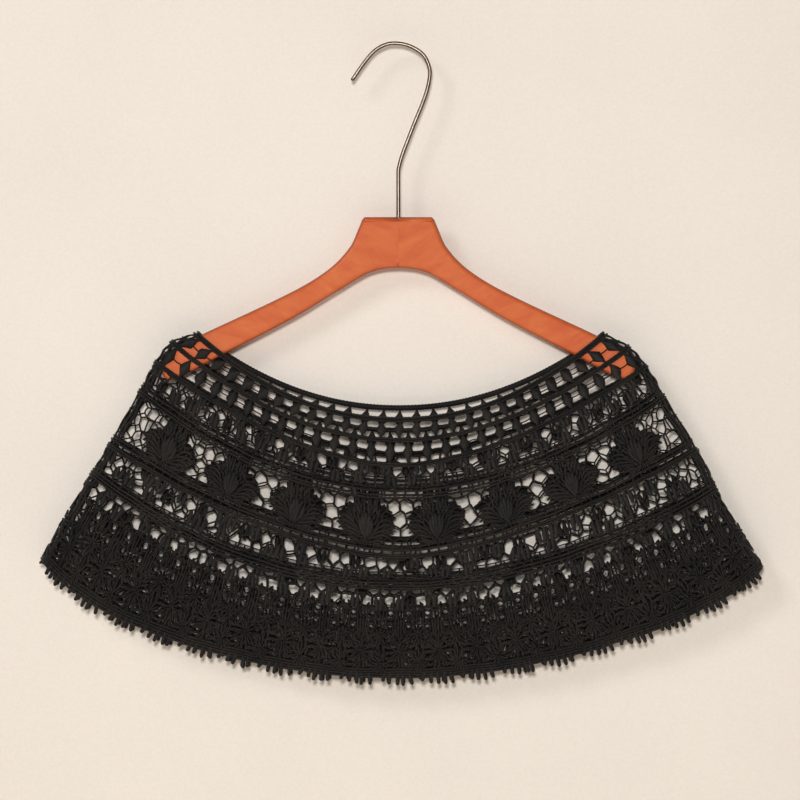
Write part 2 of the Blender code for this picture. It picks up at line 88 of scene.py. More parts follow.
class Finish:
    """A node material in the making, with its shader and the coordinates that its patterns read."""

    def __init__(self, name: str) -> None:
        """Start the material.

        Args:
            name: Its name.
        """
        self.material = bpy.data.materials.new(name)
        self.material.use_nodes = True
        self.nodes = self.material.node_tree.nodes
        self.shader = self.nodes["Principled BSDF"]
        self.where = self.add("ShaderNodeTexCoord").outputs

    def plug(self, node: bpy.types.Node, **inputs: object) -> None:
        """Set sockets of a node.

        Args:
            node: The node.
            inputs: Values or outputs to link from, by name with _ for a space, or by number as i0.
        """
        for name, value in inputs.items():
            by_number = name[0] == "i" and name[1:].isdigit()
            socket = node.inputs[int(name[1:]) if by_number else name.replace("_", " ")]
            if isinstance(value, bpy.types.NodeSocket):
                self.material.node_tree.links.new(value, socket)
            else:
                socket.default_value = value

    def add(self, kind: str, settings: dict | None = None, **inputs: object) -> bpy.types.Node:
        """Add one node.

        Args:
            kind: Blender's type name of the node.
            settings: Attributes of the node itself, such as operation.
            inputs: Its sockets, as in plug.

        Returns:
            The new node.
        """
        node = self.nodes.new(kind)
        for name, value in (settings or {}).items():
            setattr(node, name, value)
        self.plug(node, **inputs)
        return node

    def mapped(self, vector: bpy.types.NodeSocket, **inputs: object) -> bpy.types.NodeSocket:
        """A vector, turned or scaled."""
        return self.add("ShaderNodeMapping", Vector=vector, **inputs).outputs["Vector"]

    def noise(self, vector: bpy.types.NodeSocket, scale: float, **inputs: object) -> bpy.types.NodeSocket:
        """Grey noise over a vector."""
        return self.add("ShaderNodeTexNoise", Vector=vector, Scale=scale, **inputs).outputs["Fac"]

    def bump(self, height: bpy.types.NodeSocket, **inputs: object) -> bpy.types.NodeSocket:
        """Normals that a height tilts."""
        return self.add("ShaderNodeBump", Height=height, **inputs).outputs["Normal"]

    def ranged(self, value: bpy.types.NodeSocket, start: float, end: float, low: float,
               high: float) -> bpy.types.NodeSocket:
        """A value mapped from start..end to low..high, and held there."""
        return self.add("ShaderNodeMapRange", Value=value, From_Min=start, From_Max=end, To_Min=low,
                        To_Max=high).outputs["Result"]

    def toned(self, share: bpy.types.NodeSocket, *stops: tuple[float, str]) -> bpy.types.NodeSocket:
        """Colour that runs between stops.

        Args:
            share: Value that the places are read on.
            stops: Places and hex colours.

        Returns:
            The colour.
        """
        ramp = self.add("ShaderNodeValToRGB", Fac=share)
        for element, (place, colour) in zip(ramp.color_ramp.elements, stops):
            element.position = place
            element.color = linear(colour)
        return ramp.outputs["Color"]

    def dressed(self, **inputs: object) -> bpy.types.Material:
        """The material, with its shader's sockets set as in plug."""
        self.plug(self.shader, **inputs)
        return self.material


@dataclass(frozen=True)
class StitchedThread:
    """Black polyester embroidery thread, satin stitched over a padding and then freed of its backing.

    To the eye it is a soft near-black with a dull sheen on the crown of each cord, and fine stitches
    that lie across the cord. The stitches are 0.35 mm in life and drawn 1.2 mm apart so that they show.
    """
    name: str = "guipure_thread"
    dark: str = "060403"
    worn: str = "1b140e"
    roughness: float = 0.50
    specular: float = 0.32
    sheen: float = 0.02
    stitch_pitch: float = 1.2 * MM
    stitch_height: float = 0.32 * MM
    fuzz_size: float = 0.9 * MM
    patch_size: float = 26 * MM
    patch_stops: tuple[float, float] = (0.36, 0.66)
    stitch_slant: float = math.radians(14)
    stitch_relief: float = 0.75
    fuzz_relief: float = 0.5

    def material(self) -> bpy.types.Material:
        """Build it: patchy near-black, with stitches along UV and fuzz on Object coordinates.

        A Wave texture's bands repeat at a pitch where its scale is pi / (10 * pitch).
        """
        made = Finish(self.name)
        patches = made.noise(made.where["Object"], 1 / self.patch_size, Detail=3.0, Roughness=0.6)
        tone = made.toned(patches, *zip(self.patch_stops, (self.dark, self.worn)))
        turned = made.mapped(made.where["UV"], Rotation=(0.0, 0.0, self.stitch_slant))
        stitches = made.add("ShaderNodeTexWave", {"bands_direction": "Y"}, Vector=turned,
                            Scale=math.pi / (10 * self.stitch_pitch), Distortion=1.2, Detail=1.0)
        fuzz = made.noise(made.where["Object"], 1 / self.fuzz_size, Detail=2.0)
        relief = made.bump(stitches.outputs["Fac"], Strength=self.stitch_relief, Distance=self.stitch_height)
        rough = made.bump(fuzz, Strength=self.fuzz_relief, Distance=self.stitch_height, Normal=relief)
        return made.dressed(Base_Color=tone, Normal=rough, Roughness=self.roughness, Sheen_Weight=self.sheen,
                            Sheen_Roughness=0.5, Specular_IOR_Level=self.specular, IOR=1.5)


@dataclass(frozen=True)
class LacqueredBeech:
    """Beech board, with an orange-brown stain and a satin lacquer sprayed on.

    To the eye it is an even warm orange with faint cloudy grain, and a glossier coat on the rounded
    edges, where hands have rubbed it. A darker red is painted on those edges as shade.
    """
    name: str = "lacquered_beech"
    light: str = "d56d36"
    deep: str = "c75727"
    # Darker red painted on the rounded edges as shade
    edge: str = "8e3315"
    edge_gloss: float = 0.6
    roughness: float = 0.56
    specular: float = 0.25
    grain_width: float = 9 * MM
    grain_length: float = 26 * MM
    pore_size: float = 0.8 * MM
    pore_depth: float = 0.1 * MM
    pore_relief: float = 0.12
    grain_stops: tuple[float, float] = (0.30, 0.72)
    # How strongly, and over which |normal y|, the painted edge shade comes in
    edge_shade_weight: float = 0.9
    edge_shade_range: tuple[float, float] = (0.90, 0.40)
    rub_range: tuple[float, float] = (0.99, 0.90)

    def material(self, name: str, grain_turn: float) -> bpy.types.Material:
        """Build it with its grain along one arm.

        Painted edge shade and the rubbed gloss come in over ranges of |normal y|, which is 1 on the flat
        front and back.

        Args:
            name: Name of the material.
            grain_turn: Angle of the grain about Y, in radians.

        Returns:
            The finished material.
        """
        made = Finish(name)
        turned = made.mapped(made.where["Object"], Rotation=(0.0, grain_turn, 0.0))
        across = 1 / self.grain_width
        drawn_out = made.mapped(turned, Scale=(1 / self.grain_length, across, across))
        grain = made.noise(drawn_out, 1.0, Detail=4.0, Roughness=0.62, Distortion=0.4)
        tone = made.toned(grain, *zip(self.grain_stops, (self.deep, self.light)))
        pores = made.noise(made.where["Object"], 1 / self.pore_size, Detail=2.0)
        relief = made.bump(pores, Strength=self.pore_relief, Distance=self.pore_depth)
        facing = made.add("ShaderNodeSeparateXYZ", Vector=made.where["Normal"]).outputs["Y"]
        squareness = made.add("ShaderNodeMath", {"operation": "ABSOLUTE"}, i0=facing).outputs["Value"]
        # Painted shade: the darker edge red is mixed in as |normal y| falls from 0.90 to 0.40 on the rounded
        # edges
        edge_shade_share = made.ranged(squareness, *self.edge_shade_range, 0.0, self.edge_shade_weight)
        rubbed = made.ranged(squareness, *self.rub_range, 0.0, self.edge_gloss)
        edge_shaded = made.add("ShaderNodeMix", {"data_type": "RGBA"}, i0=edge_shade_share, i6=tone,
                           i7=linear(self.edge))
        return made.dressed(Base_Color=edge_shaded.outputs[2], Normal=relief, Coat_Weight=rubbed,
                            Coat_Roughness=0.22, Roughness=self.roughness,
                            Specular_IOR_Level=self.specular, IOR=1.5)


@dataclass(frozen=True)
class DrawnSteel:
    """Bright drawn steel wire, bent cold.

    To the eye it is a warm grey line with one soft light streak, and faint draw lines along the wire.
    """
    name: str = "drawn_steel"
    colour: str = "6b5f54"
    roughness: float = 0.22
    line_pitch: float = 0.4 * MM
    lines_along: float = 12.0
    gloss_change: tuple[float, float] = (-0.05, 0.10)

    def material(self) -> bpy.types.Material:
        """Build it, with draw lines from the wire's own UV map."""
        made = Finish(self.name)
        drawn_out = made.mapped(made.where["UV"], Scale=(1 / self.line_pitch, self.lines_along, 1.0))
        lines = made.noise(drawn_out, 1.0, Detail=2.0)
        gloss = made.ranged(lines, 0.0, 1.0, *(self.roughness + change for change in self.gloss_change))
        return made.dressed(Base_Color=linear(self.colour), Metallic=1.0, Roughness=gloss)


@dataclass(frozen=True)
class WallPaint:
    """Matt cream paint for the wall and floor of the studio.

    To the eye it is flat, with a fine eggshell mottle and faint wide clouds. The wall's far side is
    clear, so a view from behind sees the shawl.
    """
    name: str = "cream_paint"
    colour: str = "f1e8dd"
    roughness: float = 0.9
    grain_size: float = 2.6 * MM
    grain_tone: float = 0.035
    cloud_size: float = 160 * MM
    cloud_tone: float = 0.02
    noise_range: tuple[float, float] = (0.3, 0.7)
    specular: float = 0.1

    def material(self, clear_behind: bool) -> bpy.types.Material:
        """Build it.

        Args:
            clear_behind: Whether the back of the surface lets light and sight through.

        Returns:
            The finished material.
        """
        made = Finish(self.name + ("_wall" if clear_behind else "_floor"))
        grains = made.noise(made.where["Object"], 1 / self.grain_size, Detail=2.0, Roughness=0.7)
        clouds = made.noise(made.where["Object"], 1 / self.cloud_size, Detail=2.0)
        tones = [made.ranged(noise, *self.noise_range, 1 - depth, 1 + depth / 2)
                 for noise, depth in ((grains, self.grain_tone), (clouds, self.cloud_tone))]
        both = made.add("ShaderNodeMath", {"operation": "MULTIPLY"}, i0=tones[0], i1=tones[1])
        tone = made.add("ShaderNodeVectorMath", {"operation": "SCALE"}, i0=linear(self.colour)[:3],
                        Scale=both.outputs["Value"])
        if clear_behind:
            side = made.add("ShaderNodeNewGeometry")
            clear = made.add("ShaderNodeBsdfTransparent")
            mixed = made.add("ShaderNodeMixShader", i0=side.outputs["Backfacing"],
                             i1=made.shader.outputs["BSDF"], i2=clear.outputs["BSDF"])
            made.plug(made.nodes["Material Output"], Surface=mixed.outputs["Shader"])
        return made.dressed(Base_Color=tone.outputs["Vector"], Roughness=self.roughness,
                            Specular_IOR_Level=self.specular)


# The hanging surface, the same one that the frame's panels have


@dataclass(frozen=True)
class RowLine:
    """One ribbon line of a panel, from its side folds to the middle, as heights below the hook's rest."""
    reach_left: float
    reach_right: float
    drop_left: float
    drop_right: float
    drop_middle: float
    curve: float
    droop_left: float
    droop_right: float
    half_gap: float
    flute: float
    fold_radius: float


# Neck edge, ribbons 1 to 5, upper edge of the flowers, and hem
ROW_LINES = (
    RowLine(.1800, .1827, .2588, .2588, .3348, 2.10, 0, 0, .0070, .0, .0040),
    RowLine(.2043, .2070, .2669, .2714, .3551, 1.95, 0, 0, .0070, .0, .0040),
    RowLine(.2187, .2223, .2849, .2885, .3776, 1.70, 0, 0, .0070, .0, .0042),
    RowLine(.2331, .2385, .3110, .3155, .4059, 1.95, 0, 0, .0072, .0003, .0050),
    RowLine(.2610, .2682, .3596, .3641, .4604, 1.65, 0, 0, .0078, .0010, .0060),
    RowLine(.2763, .2853, .3848, .3983, .4872, 2.05, 0, 0, .0082, .0016, .0065),
    RowLine(.2871, .2943, .4032, .4163, .5072, 2.00, 0, 0, .0086, .0022, .0070),
    RowLine(.3210, .3267, .4620, .4700, .5680, 2.00, .0200, .0130, .0096, .0036, .0080),
)
MIDDLE_X = 0.0054
DROOP_POWER = 12
# Height by which the back's row lines stand above the front's at the middle, at levels 0 to 7
BACK_RISE = (0.0107, 0.0086, 0.0090, 0.0088, 0.0074, 0.0052, 0.0028, 0.0)
SEAM_GAP = 0.3 * MM
HEM_LEVEL = 7.0


class Side(Enum):
    """Which panel of the ring: its flutes as waves across it, each with count, start and weight."""
    FRONT = ((5.0, 0.4, 0.55), (8.6, 2.1, 0.30), (13.0, 4.0, 0.15))
    BACK = ((4.2, 2.6, 0.55), (7.8, 0.9, 0.30), (12.0, 5.2, 0.15))


def smooth_between(values: Array, places: Array) -> Array:
    """Values between the entries of a table, on a Catmull-Rom curve through them.

    With p0 to p3 the entries around a place and t its share from p1 to p2, the value is
    p1 + t/2 * ((p2 - p0) + t * ((2 p0 - 5 p1 + 4 p2 - p3) + t * (3 p1 - p0 - 3 p2 + p3))).

    Args:
        values: Entries along the first axis.
        places: Positions in the table, from 0 to its last index.

    Returns:
        One entry for each place.
    """
    ends = (2 * values[:1] - values[1:2], 2 * values[-1:] - values[-2:-1])
    padded = np.concatenate((ends[0], values, ends[1]))
    start = np.clip(np.floor(places).astype(int), 0, len(values) - 2)
    share = (places - start).reshape(places.shape + (1,) * (values.ndim - 1))
    p0, p1, p2, p3 = (padded[start + i] for i in range(4))
    return p1 + 0.5 * share * ((p2 - p0) + share * ((2 * p0 - 5 * p1 + 4 * p2 - p3)
                                                    + share * (3 * p1 - p0 - 3 * p2 + p3)))


class Panel:
    """One hanging panel, tabled over level and share along a row line."""
    FIRST_LEVEL = -0.2
    LAST_LEVEL = 7.4
    LEVELS = 381
    SHARES = 401
    ALONGS = 701

    def __init__(self, side: Side) -> None:
        """Table the row lines of one side.

        A line runs x = middle + reach * u + lean * u^2 for u from -1 to 1, and drops
        middle + (side + droop - middle) * |u|^curve - droop * |u|^12.

        Args:
            side: Front or back.
        """
        self.side = side
        levels = np.linspace(self.FIRST_LEVEL, self.LAST_LEVEL, self.LEVELS)
        rows = np.array([list(vars(row).values()) for row in ROW_LINES], float)
        numbers = smooth_between(rows, levels).T[:, :, None]
        (reach_left, reach_right, drop_left, drop_right, middle, curve, droop_left, droop_right,
         half_gap, flute, fold_radius) = numbers
        if side is Side.BACK:
            middle = middle - np.interp(levels, np.arange(8), BACK_RISE)[:, None]
        u = np.linspace(-1, 1, self.SHARES)[None, :]
        across = MIDDLE_X + (reach_left + reach_right) / 2 * u + (reach_right - reach_left) / 2 * u ** 2
        edge = (drop_left + drop_right) / 2 + u * (drop_right - drop_left) / 2
        droop = np.where(u < 0, droop_left, droop_right)
        drop = middle + (edge + droop - middle) * np.abs(u) ** curve - droop * np.abs(u) ** DROOP_POWER
        steps = np.hypot(np.diff(across, axis=1), np.diff(drop, axis=1))
        walked = np.concatenate((np.zeros((self.LEVELS, 1)), np.cumsum(steps, axis=1)), axis=1)
        alongs = np.linspace(0, 1, self.ALONGS)
        self.x = np.array([np.interp(alongs, w / w[-1], x) for w, x in zip(walked, across)])
        self.z = np.array([np.interp(alongs, w / w[-1], -z) for w, z in zip(walked, drop)])
        self.columns = np.stack([walked[:, -1], half_gap[:, 0], np.maximum(flute[:, 0], 0),
                                 fold_radius[:, 0]])
        self.levels = levels

    def column(self, number: int, level: Array) -> Array:
        """A column at some levels: 0 length, 1 half gap, 2 flute, 3 fold radius."""
        return np.interp(level, self.levels, self.columns[number])

    def inner(self, along: Array, level: Array) -> Array:
        """Points of the inner face.

        Near a side fold the face turns in a quarter round: y = gap * sin(a) where the distance from
        the fold is radius * (1 - cos(a)). Elsewhere y is the half gap plus flutes that fade at the folds.

        Args:
            along: Shares along the row line, 0 to 1.
            level: Levels, of the same shape.

        Returns:
            Points, with a last axis of x, y and z.
        """
        column = np.clip(along, 0, 1) * (self.ALONGS - 1)
        row = (np.clip(level, self.FIRST_LEVEL, self.LAST_LEVEL) - self.FIRST_LEVEL) / (
            self.LAST_LEVEL - self.FIRST_LEVEL) * (self.LEVELS - 1)
        c = np.minimum(column.astype(int), self.ALONGS - 2)
        r = np.minimum(row.astype(int), self.LEVELS - 2)
        fc, fr = column - c, row - r
        x, z = (t[r, c] * (1 - fr) * (1 - fc) + t[r, c + 1] * (1 - fr) * fc + t[r + 1, c] * fr * (1 - fc)
                + t[r + 1, c + 1] * fr * fc for t in (self.x, self.z))
        length, half_gap, flute, radius = (self.column(i, level) for i in range(4))
        from_fold = np.clip(np.minimum(along, 1 - along), 0, 1) * length
        turn = np.where(from_fold < radius, np.arccos(np.clip(1 - from_fold / radius, -1, 1)), math.pi / 2)
        fade = np.sqrt(np.sin(math.pi * np.clip(along, 0, 1)))
        wave = sum(weight * np.sin(count * math.pi * along + start)
                   for count, start, weight in self.side.value)
        depth = (half_gap + flute * wave * fade) * np.sin(turn) + SEAM_GAP / 2
        return np.stack([x, depth * (1 if self.side is Side.BACK else -1), z], axis=-1)


class Garment:
    """The whole ring as one surface of turn and level."""
    TURN_STEP = 0.0012
    LEVEL_STEP = 0.03

    def __init__(self) -> None:
        """Table both panels."""
        self.front = Panel(Side.FRONT)
        self.back = Panel(Side.BACK)

    def inner(self, turn: Array, level: Array) -> Array:
        """Points of the inner face; turn 0 to 1 is the front, and 1 to 2 the back from right to left.

        Args:
            turn: Turns, taken modulo 2.
            level: Levels, of the same shape.

        Returns:
            Points, with a last axis of x, y and z.
        """
        turn = np.mod(turn, 2)
        front = self.front.inner(np.clip(turn, 0, 1), level)
        back = self.back.inner(np.clip(2 - turn, 0, 1), level)
        return np.where((turn > 1)[..., None], back, front)

    def steps(self, turn: Array, level: Array) -> tuple[Array, Array]:
        """How the inner face moves for a unit of turn and for a unit of level.

        Args:
            turn: Turns.
            level: Levels, of the same shape.

        Returns:
            Both slopes, in metres.
        """
        by_turn = (self.inner(turn + self.TURN_STEP, level) - self.inner(turn - self.TURN_STEP, level)) / (
            2 * self.TURN_STEP)
        by_level = (self.inner(turn, level + self.LEVEL_STEP) - self.inner(turn, level - self.LEVEL_STEP)) / (
            2 * self.LEVEL_STEP)
        return by_turn, by_level

    def frame(self, turn: Array, level: Array) -> tuple[Array, Array, Array]:
        """Points of the inner face, and unit steps out of it (level step x turn step) and down it."""
        by_turn, by_level = self.steps(turn, level)
        return self.inner(turn, level), unit(np.cross(by_level, by_turn)), unit(by_level)

    def length(self, level: float) -> float:
        """Length of the whole ring at one level, in metres."""
        return sum(float(panel.column(0, np.array(level))) for panel in (self.front, self.back))


def unit(vectors: Array) -> Array:
    """Vectors along the last axis, each divided by its length."""
    return vectors / np.maximum(np.linalg.norm(vectors, axis=-1, keepdims=True), 1e-12)


# Stitched cords


# Start and length of a round tip and a petal's widest place, as shares of a cord's length, a flare's reach
# from the middle as a share of half the length, and the power of a leaf's outline
TIP_START = 0.84
TIP_LENGTH = 0.165
PETAL_PEAK = 0.68
FLARE_REACH = 0.74
LEAF_POWER = 0.6
# Power by which a finger's rings crowd to its tip, least share of width that a height is the root of, and
# width of a crown's groove as a cosine
TIP_CROWDING = 1.7
LEAST_WIDTH = 0.12
GROOVE_WIDTH = 0.32
# Distance by which a closing pole stands out, as a share of the half width
POLE_SHARE = 0.45
# Waves of a closed cord's wander, each with count, start and weight
SWAY_WAVES = ((61, 0, 1.0), (143, 1, 0.6))


class Taper(Enum):
    """How a cord's half width goes along it, t being the share of its length."""
    EVEN = "even, with round ends"
    LEAF = "sin(pi t) ^ 0.6, from a fine point to a fine point"
    PETAL = "widest at two thirds, with a round tip"
    FLARE = "a straight flare to the middle from an eighth in at both ends"
    FINGER = "even, with a round tip at its end"


@dataclass(frozen=True)
class Stitch:
    """Cross-section of one kind of stitched cord, in metres."""
    half_width: float
    half_height: float
    taper: Taper = Taper.EVEN
    lift: float = 0.9 * MM
    sides: int = 6
    rings: int = 5
    least: float = 0.55
    groove: float = 0.0

    def width_at(self, t: Array) -> Array:
        """Half width as a share of the full one.

        A leaf goes as sin(pi t) ^ 0.6, a petal as 1 - ((t - peak) / peak) ^ 2 and a flare as
        least + (1 - least) * (1 - |2t - 1| / reach), each at least the least share. A petal is then
        multiplied by its round tip, which takes it under that share at its end.

        Args:
            t: Shares of the length.

        Returns:
            Shares of the half width.
        """
        tip = np.sqrt(np.clip(1 - (np.clip(t - TIP_START, 0, 1) / TIP_LENGTH) ** 2, 0.05, 1))
        if self.taper is Taper.LEAF:
            return np.maximum(np.sin(math.pi * t) ** LEAF_POWER, self.least)
        if self.taper is Taper.PETAL:
            return np.maximum(self.least, 1 - ((t - PETAL_PEAK) / PETAL_PEAK) ** 2) * tip
        if self.taper is Taper.FLARE:
            return self.least + (1 - self.least) * np.clip(1 - np.abs(2 * t - 1) / FLARE_REACH, 0, 1)
        if self.taper is Taper.FINGER:
            return tip
        return np.ones_like(t)

    def tube(self, centre: Array, side: Array, up: Array, wide: Array, high: Array) -> Array:
        """Rings of points round a route.

        A point at angle a is centre + side * half width * wide * cos(a) + up * half height * high * sin(a),
        and a groove lowers it on the crown by the share groove * exp(-(cos(a) / 0.32) ^ 2). A ring of six
        is turned by half a step, so that it has a corner on the crown as a ring of eight has.

        Args:
            centre: Middles of the rings, as (..., 3).
            side: Unit directions of their widths.
            up: Unit directions of their heights.
            wide: Shares of the half width, as (...).
            high: Shares of the half height.

        Returns:
            Points, as (..., sides, 3).
        """
        angle = 2 * math.pi * (np.arange(self.sides) + 0.5 * (self.sides % 4 == 2)) / self.sides
        across, above = np.cos(angle), np.sin(angle)
        above = above * (1 - self.groove * np.exp(-(across / GROOVE_WIDTH) ** 2) * (above > 0))
        return (centre[..., None, :]
                + side[..., None, :] * (wide[..., None] * across * self.half_width)[..., None]
                + up[..., None, :] * (high[..., None] * above * self.half_height)[..., None])

    def wall(self, start: Array, end: Array, low: Array, high: Array) -> tuple[Array, Array]:
        """Quads between rings, and their UV corners in metres round and along the cord.

        Args:
            start: Numbers of the rings that the quads start at.
            end: Numbers of the rings that they end at.
            low: Distances walked to the first ones, as (..., quads along).
            high: Distances walked to the second ones.

        Returns:
            Corners as (n, 4), and UV places as (..., quads along, sides, 4, 2).
        """
        around = np.arange(self.sides)
        after = (around + 1) % self.sides
        near, far = start[:, None] * self.sides, end[:, None] * self.sides
        quads = np.stack([near + around, near + after, far + after, far + around], axis=-1).reshape(-1, 4)
        low, high = (walked[..., None] * np.ones(self.sides) for walked in (low, high))
        girth = 2 * math.pi * self.half_width / self.sides
        left, right = ((around + i) * girth * np.ones_like(low) for i in (0, 1))
        corners = ((left, low), (right, low), (right, high), (left, high))
        return quads, np.stack([np.stack(corner, -1) for corner in corners], axis=-2)


TWINE = Stitch(0.64 * MM, 0.60 * MM, sides=5, rings=9)
NET = Stitch(0.80 * MM, 0.68 * MM, sides=5, rings=4)
CORD = Stitch(0.85 * MM, 0.75 * MM, rings=7)
BAR = Stitch(0.90 * MM, 0.75 * MM, rings=4)
RIB = Stitch(1.15 * MM, 0.90 * MM, Taper.LEAF, lift=1.6 * MM, rings=8, least=0.45)
RIM = Stitch(0.95 * MM, 0.80 * MM, lift=1.0 * MM, rings=4)
CELL_LEAF = Stitch(2.5 * MM, 1.10 * MM, Taper.LEAF, lift=1.2 * MM, sides=8, rings=6, least=0.5, groove=0.3)
LADDER_CORD = Stitch(1.40 * MM, 0.90 * MM, lift=1.0 * MM)
GROUND = Stitch(1.85 * MM, 0.95 * MM, Taper.LEAF, sides=5, rings=3, least=0.50)
WING = Stitch(1.7 * MM, 0.95 * MM, Taper.LEAF, lift=1.5 * MM, rings=9, least=0.5)
BLOB = Stitch(5.3 * MM, 1.35 * MM, Taper.FLARE, lift=1.2 * MM, sides=8, rings=15, least=0.20)
PETAL = Stitch(1.25 * MM, 1.00 * MM, Taper.PETAL, lift=1.8 * MM, rings=6, least=0.45)
FAN_FINGER = Stitch(2.2 * MM, 1.3 * MM, Taper.PETAL, lift=2.2 * MM, sides=8, rings=10, least=0.3, groove=0.35)
PICOT = Stitch(1.75 * MM, 1.15 * MM, Taper.FINGER, lift=1.0 * MM, sides=8, rings=9)
SEED = Stitch(1.6 * MM, 1.1 * MM, Taper.LEAF, lift=1.9 * MM, least=0.5)
RIBBON = Stitch(1.30 * MM, 0.95 * MM, lift=1.25 * MM)
HEM_CORD = Stitch(1.30 * MM, 0.95 * MM, lift=1.2 * MM)
FOLD_CORD = Stitch(1.20 * MM, 0.80 * MM)
BAND_CORD = Stitch(1.15 * MM, 1.05 * MM, lift=1.3 * MM, sides=8)
BAND_TAPE = Stitch(1.6 * MM, 0.5 * MM, lift=0.3 * MM)


def distance_walked(route: Array) -> Array:
    """Distance from the start of each route to its points, which lie along the last axis but one."""
    steps = np.linalg.norm(np.diff(route, axis=-2), axis=-1)
    return np.concatenate((np.zeros_like(steps[..., :1]), np.cumsum(steps, axis=-1)), axis=-1)


class CordWork:
    """Collects cords and joins them into one mesh."""

    def __init__(self, garment: Garment | None, seed: int) -> None:
        """Start an empty piece.

        Args:
            garment: Surface that the cords lie on, or none where they are swept in free space.
            seed: Seed of the small hand-made unevenness.
        """
        self.garment = garment
        self.random = np.random.default_rng(seed)
        self.points: list[Array] = []
        self.faces: list[Array] = []
        self.maps: list[Array] = []
        self.count = 0

    def keep(self, points: Array, faces: Array, uv: Array) -> None:
        """Keep a block of cords.

        Args:
            points: Its points.
            faces: Corners of its faces as (n, 4), with -1 for the fourth of a triangle.
            uv: UV places of those corners.
        """
        self.points.append(points.reshape(-1, 3))
        self.faces.append(np.where(faces >= 0, faces + self.count, -1))
        self.maps.append(uv.reshape(-1, 4, 2))
        self.count += len(self.points[-1])

    def lay(self, turn: Array, level: Array, stitch: Stitch, below: Array | None = None,
            rings: int | None = None) -> None:
        """Lay a batch of open cords along smooth routes.

        Args:
            turn: Turns of the route points, as (cords, points).
            level: Levels of the route points, of the same shape.
            stitch: The kind of cord.
            below: Drops under the surface along the level's direction, in metres, or none.
            rings: Number of rings, or none for the stitch's own.
        """
        share = np.linspace(0, 1, rings or stitch.rings)
        share = 1 - (1 - share) ** TIP_CROWDING if stitch.taper is Taper.FINGER else share
        places = share * (turn.shape[1] - 1)
        turns, levels = (smooth_between(way.T, places).T for way in (turn, level))
        route, outward, down = self.garment.frame(turns, np.minimum(levels, HEM_LEVEL))
        if below is not None:
            route = route + down * smooth_between(below.T, places).T[..., None]
        self.sweep(route, outward, stitch)

    def sweep(self, route: Array, outward: Array, stitch: Stitch) -> None:
        """Sweep a stitch along routes in space, with a pole closing each end.

        Args:
            route: Points under the cords' centres, as (cords, rings, 3).
            outward: Unit normals at those points.
            stitch: The kind of cord.
        """
        cords, rings, _ = route.shape
        sides = stitch.sides
        walked = distance_walked(route)
        along = unit(np.gradient(route, axis=1))
        side = unit(np.cross(outward, along))
        wide = stitch.width_at(walked / np.maximum(walked[:, -1:], 1e-9))
        high = np.sqrt(np.clip(wide, LEAST_WIDTH, 1.0))
        centre = route + outward * stitch.lift
        tube = stitch.tube(centre, side, np.cross(along, side), wide, high)
        cap = POLE_SHARE * stitch.half_width
        poles = np.stack([centre[:, 0] - along[:, 0] * cap * wide[:, :1],
                          centre[:, -1] + along[:, -1] * cap * wide[:, -1:]], axis=1)
        block = np.concatenate((tube.reshape(cords, rings * sides, 3), poles), axis=1)
        numbers = np.arange(rings - 1)
        quads, uv = stitch.wall(numbers, numbers + 1, walked[:, :-1], walked[:, 1:])
        around = np.arange(sides)
        after = (around + 1) % sides
        last = (rings - 1) * sides
        pole = np.full(sides, rings * sides)
        none = np.full(sides, -1)
        start_cap = np.stack([pole, after, around, none], axis=1)
        end_cap = np.stack([pole + 1, last + around, last + after, none], axis=1)
        faces = np.concatenate((quads, start_cap, end_cap))
        offsets = np.arange(cords) * (rings * sides + 2)
        every = np.where(faces[None] >= 0, faces[None] + offsets[:, None, None], -1).reshape(-1, 4)
        caps = np.zeros((cords, 2 * sides, 4, 2))
        caps[:, sides:, :, 1] = walked[:, -1][:, None, None]
        self.keep(block, every, np.concatenate((uv.reshape(cords, -1, 4, 2), caps), axis=1))

    def loop(self, level: float, stitch: Stitch, spacing: float, bead: float = 0.0,
             bead_pitch: float = 3.4 * MM, sway: float = 0.0) -> None:
        """Lay one closed cord all round the garment at a level.

        Its half width goes as 1 + bead * sin(2 pi s / pitch), s being the distance walked.

        Args:
            level: Level of the cord.
            stitch: The kind of cord.
            spacing: Distance between rings, in metres.
            bead: Share by which the width swells.
            bead_pitch: Length of one swelling, in metres.
            sway: Amplitude of a slow wander up and down, in metres.
        """
        rings = int(self.garment.length(level) / spacing)
        turns = np.arange(rings) / rings * 2
        route, outward, down = self.garment.frame(turns, np.full(rings, level))
        wander = sum(weight * np.sin(turns * count + start) for count, start, weight in SWAY_WAVES)
        route = route + down * (sway * wander)[:, None]
        along = unit(np.roll(route, -1, axis=0) - np.roll(route, 1, axis=0))
        walked = distance_walked(route)
        wide = 1 + bead * np.sin(2 * math.pi * walked / bead_pitch)
        side = unit(np.cross(outward, along))
        tube = stitch.tube(route + outward * stitch.lift, side, outward, wide, wide)
        numbers = np.arange(rings)
        end = np.append(walked[1:], walked[-1] + spacing)
        self.keep(tube, *stitch.wall(numbers, (numbers + 1) % rings, walked, end))

    def mesh(self, name: str) -> bpy.types.Mesh:
        """Join everything laid so far into one mesh with a UV map in metres.

        Args:
            name: Name of the mesh.

        Returns:
            The mesh, its faces pointing outward.
        """
        points, faces, uv = (np.concatenate(kept) for kept in (self.points, self.faces, self.maps))
        used = faces >= 0
        sizes = used.sum(axis=1)
        starts = np.concatenate(([0], np.cumsum(sizes)[:-1]))
        made = bpy.data.meshes.new(name)
        made.vertices.add(len(points))
        made.vertices.foreach_set("co", points.astype(np.float32).ravel())
        made.loops.add(int(sizes.sum()))
        made.loops.foreach_set("vertex_index", faces[used].astype(np.int32))
        made.polygons.add(len(faces))
        made.polygons.foreach_set("loop_start", starts.astype(np.int32))
        made.polygons.foreach_set("use_smooth", np.ones(len(faces), bool))
        made.update(calc_edges=True)
        layer = made.uv_layers.new(name="UVMap")
        layer.data.foreach_set("uv", uv[used].astype(np.float32).ravel())
        return made


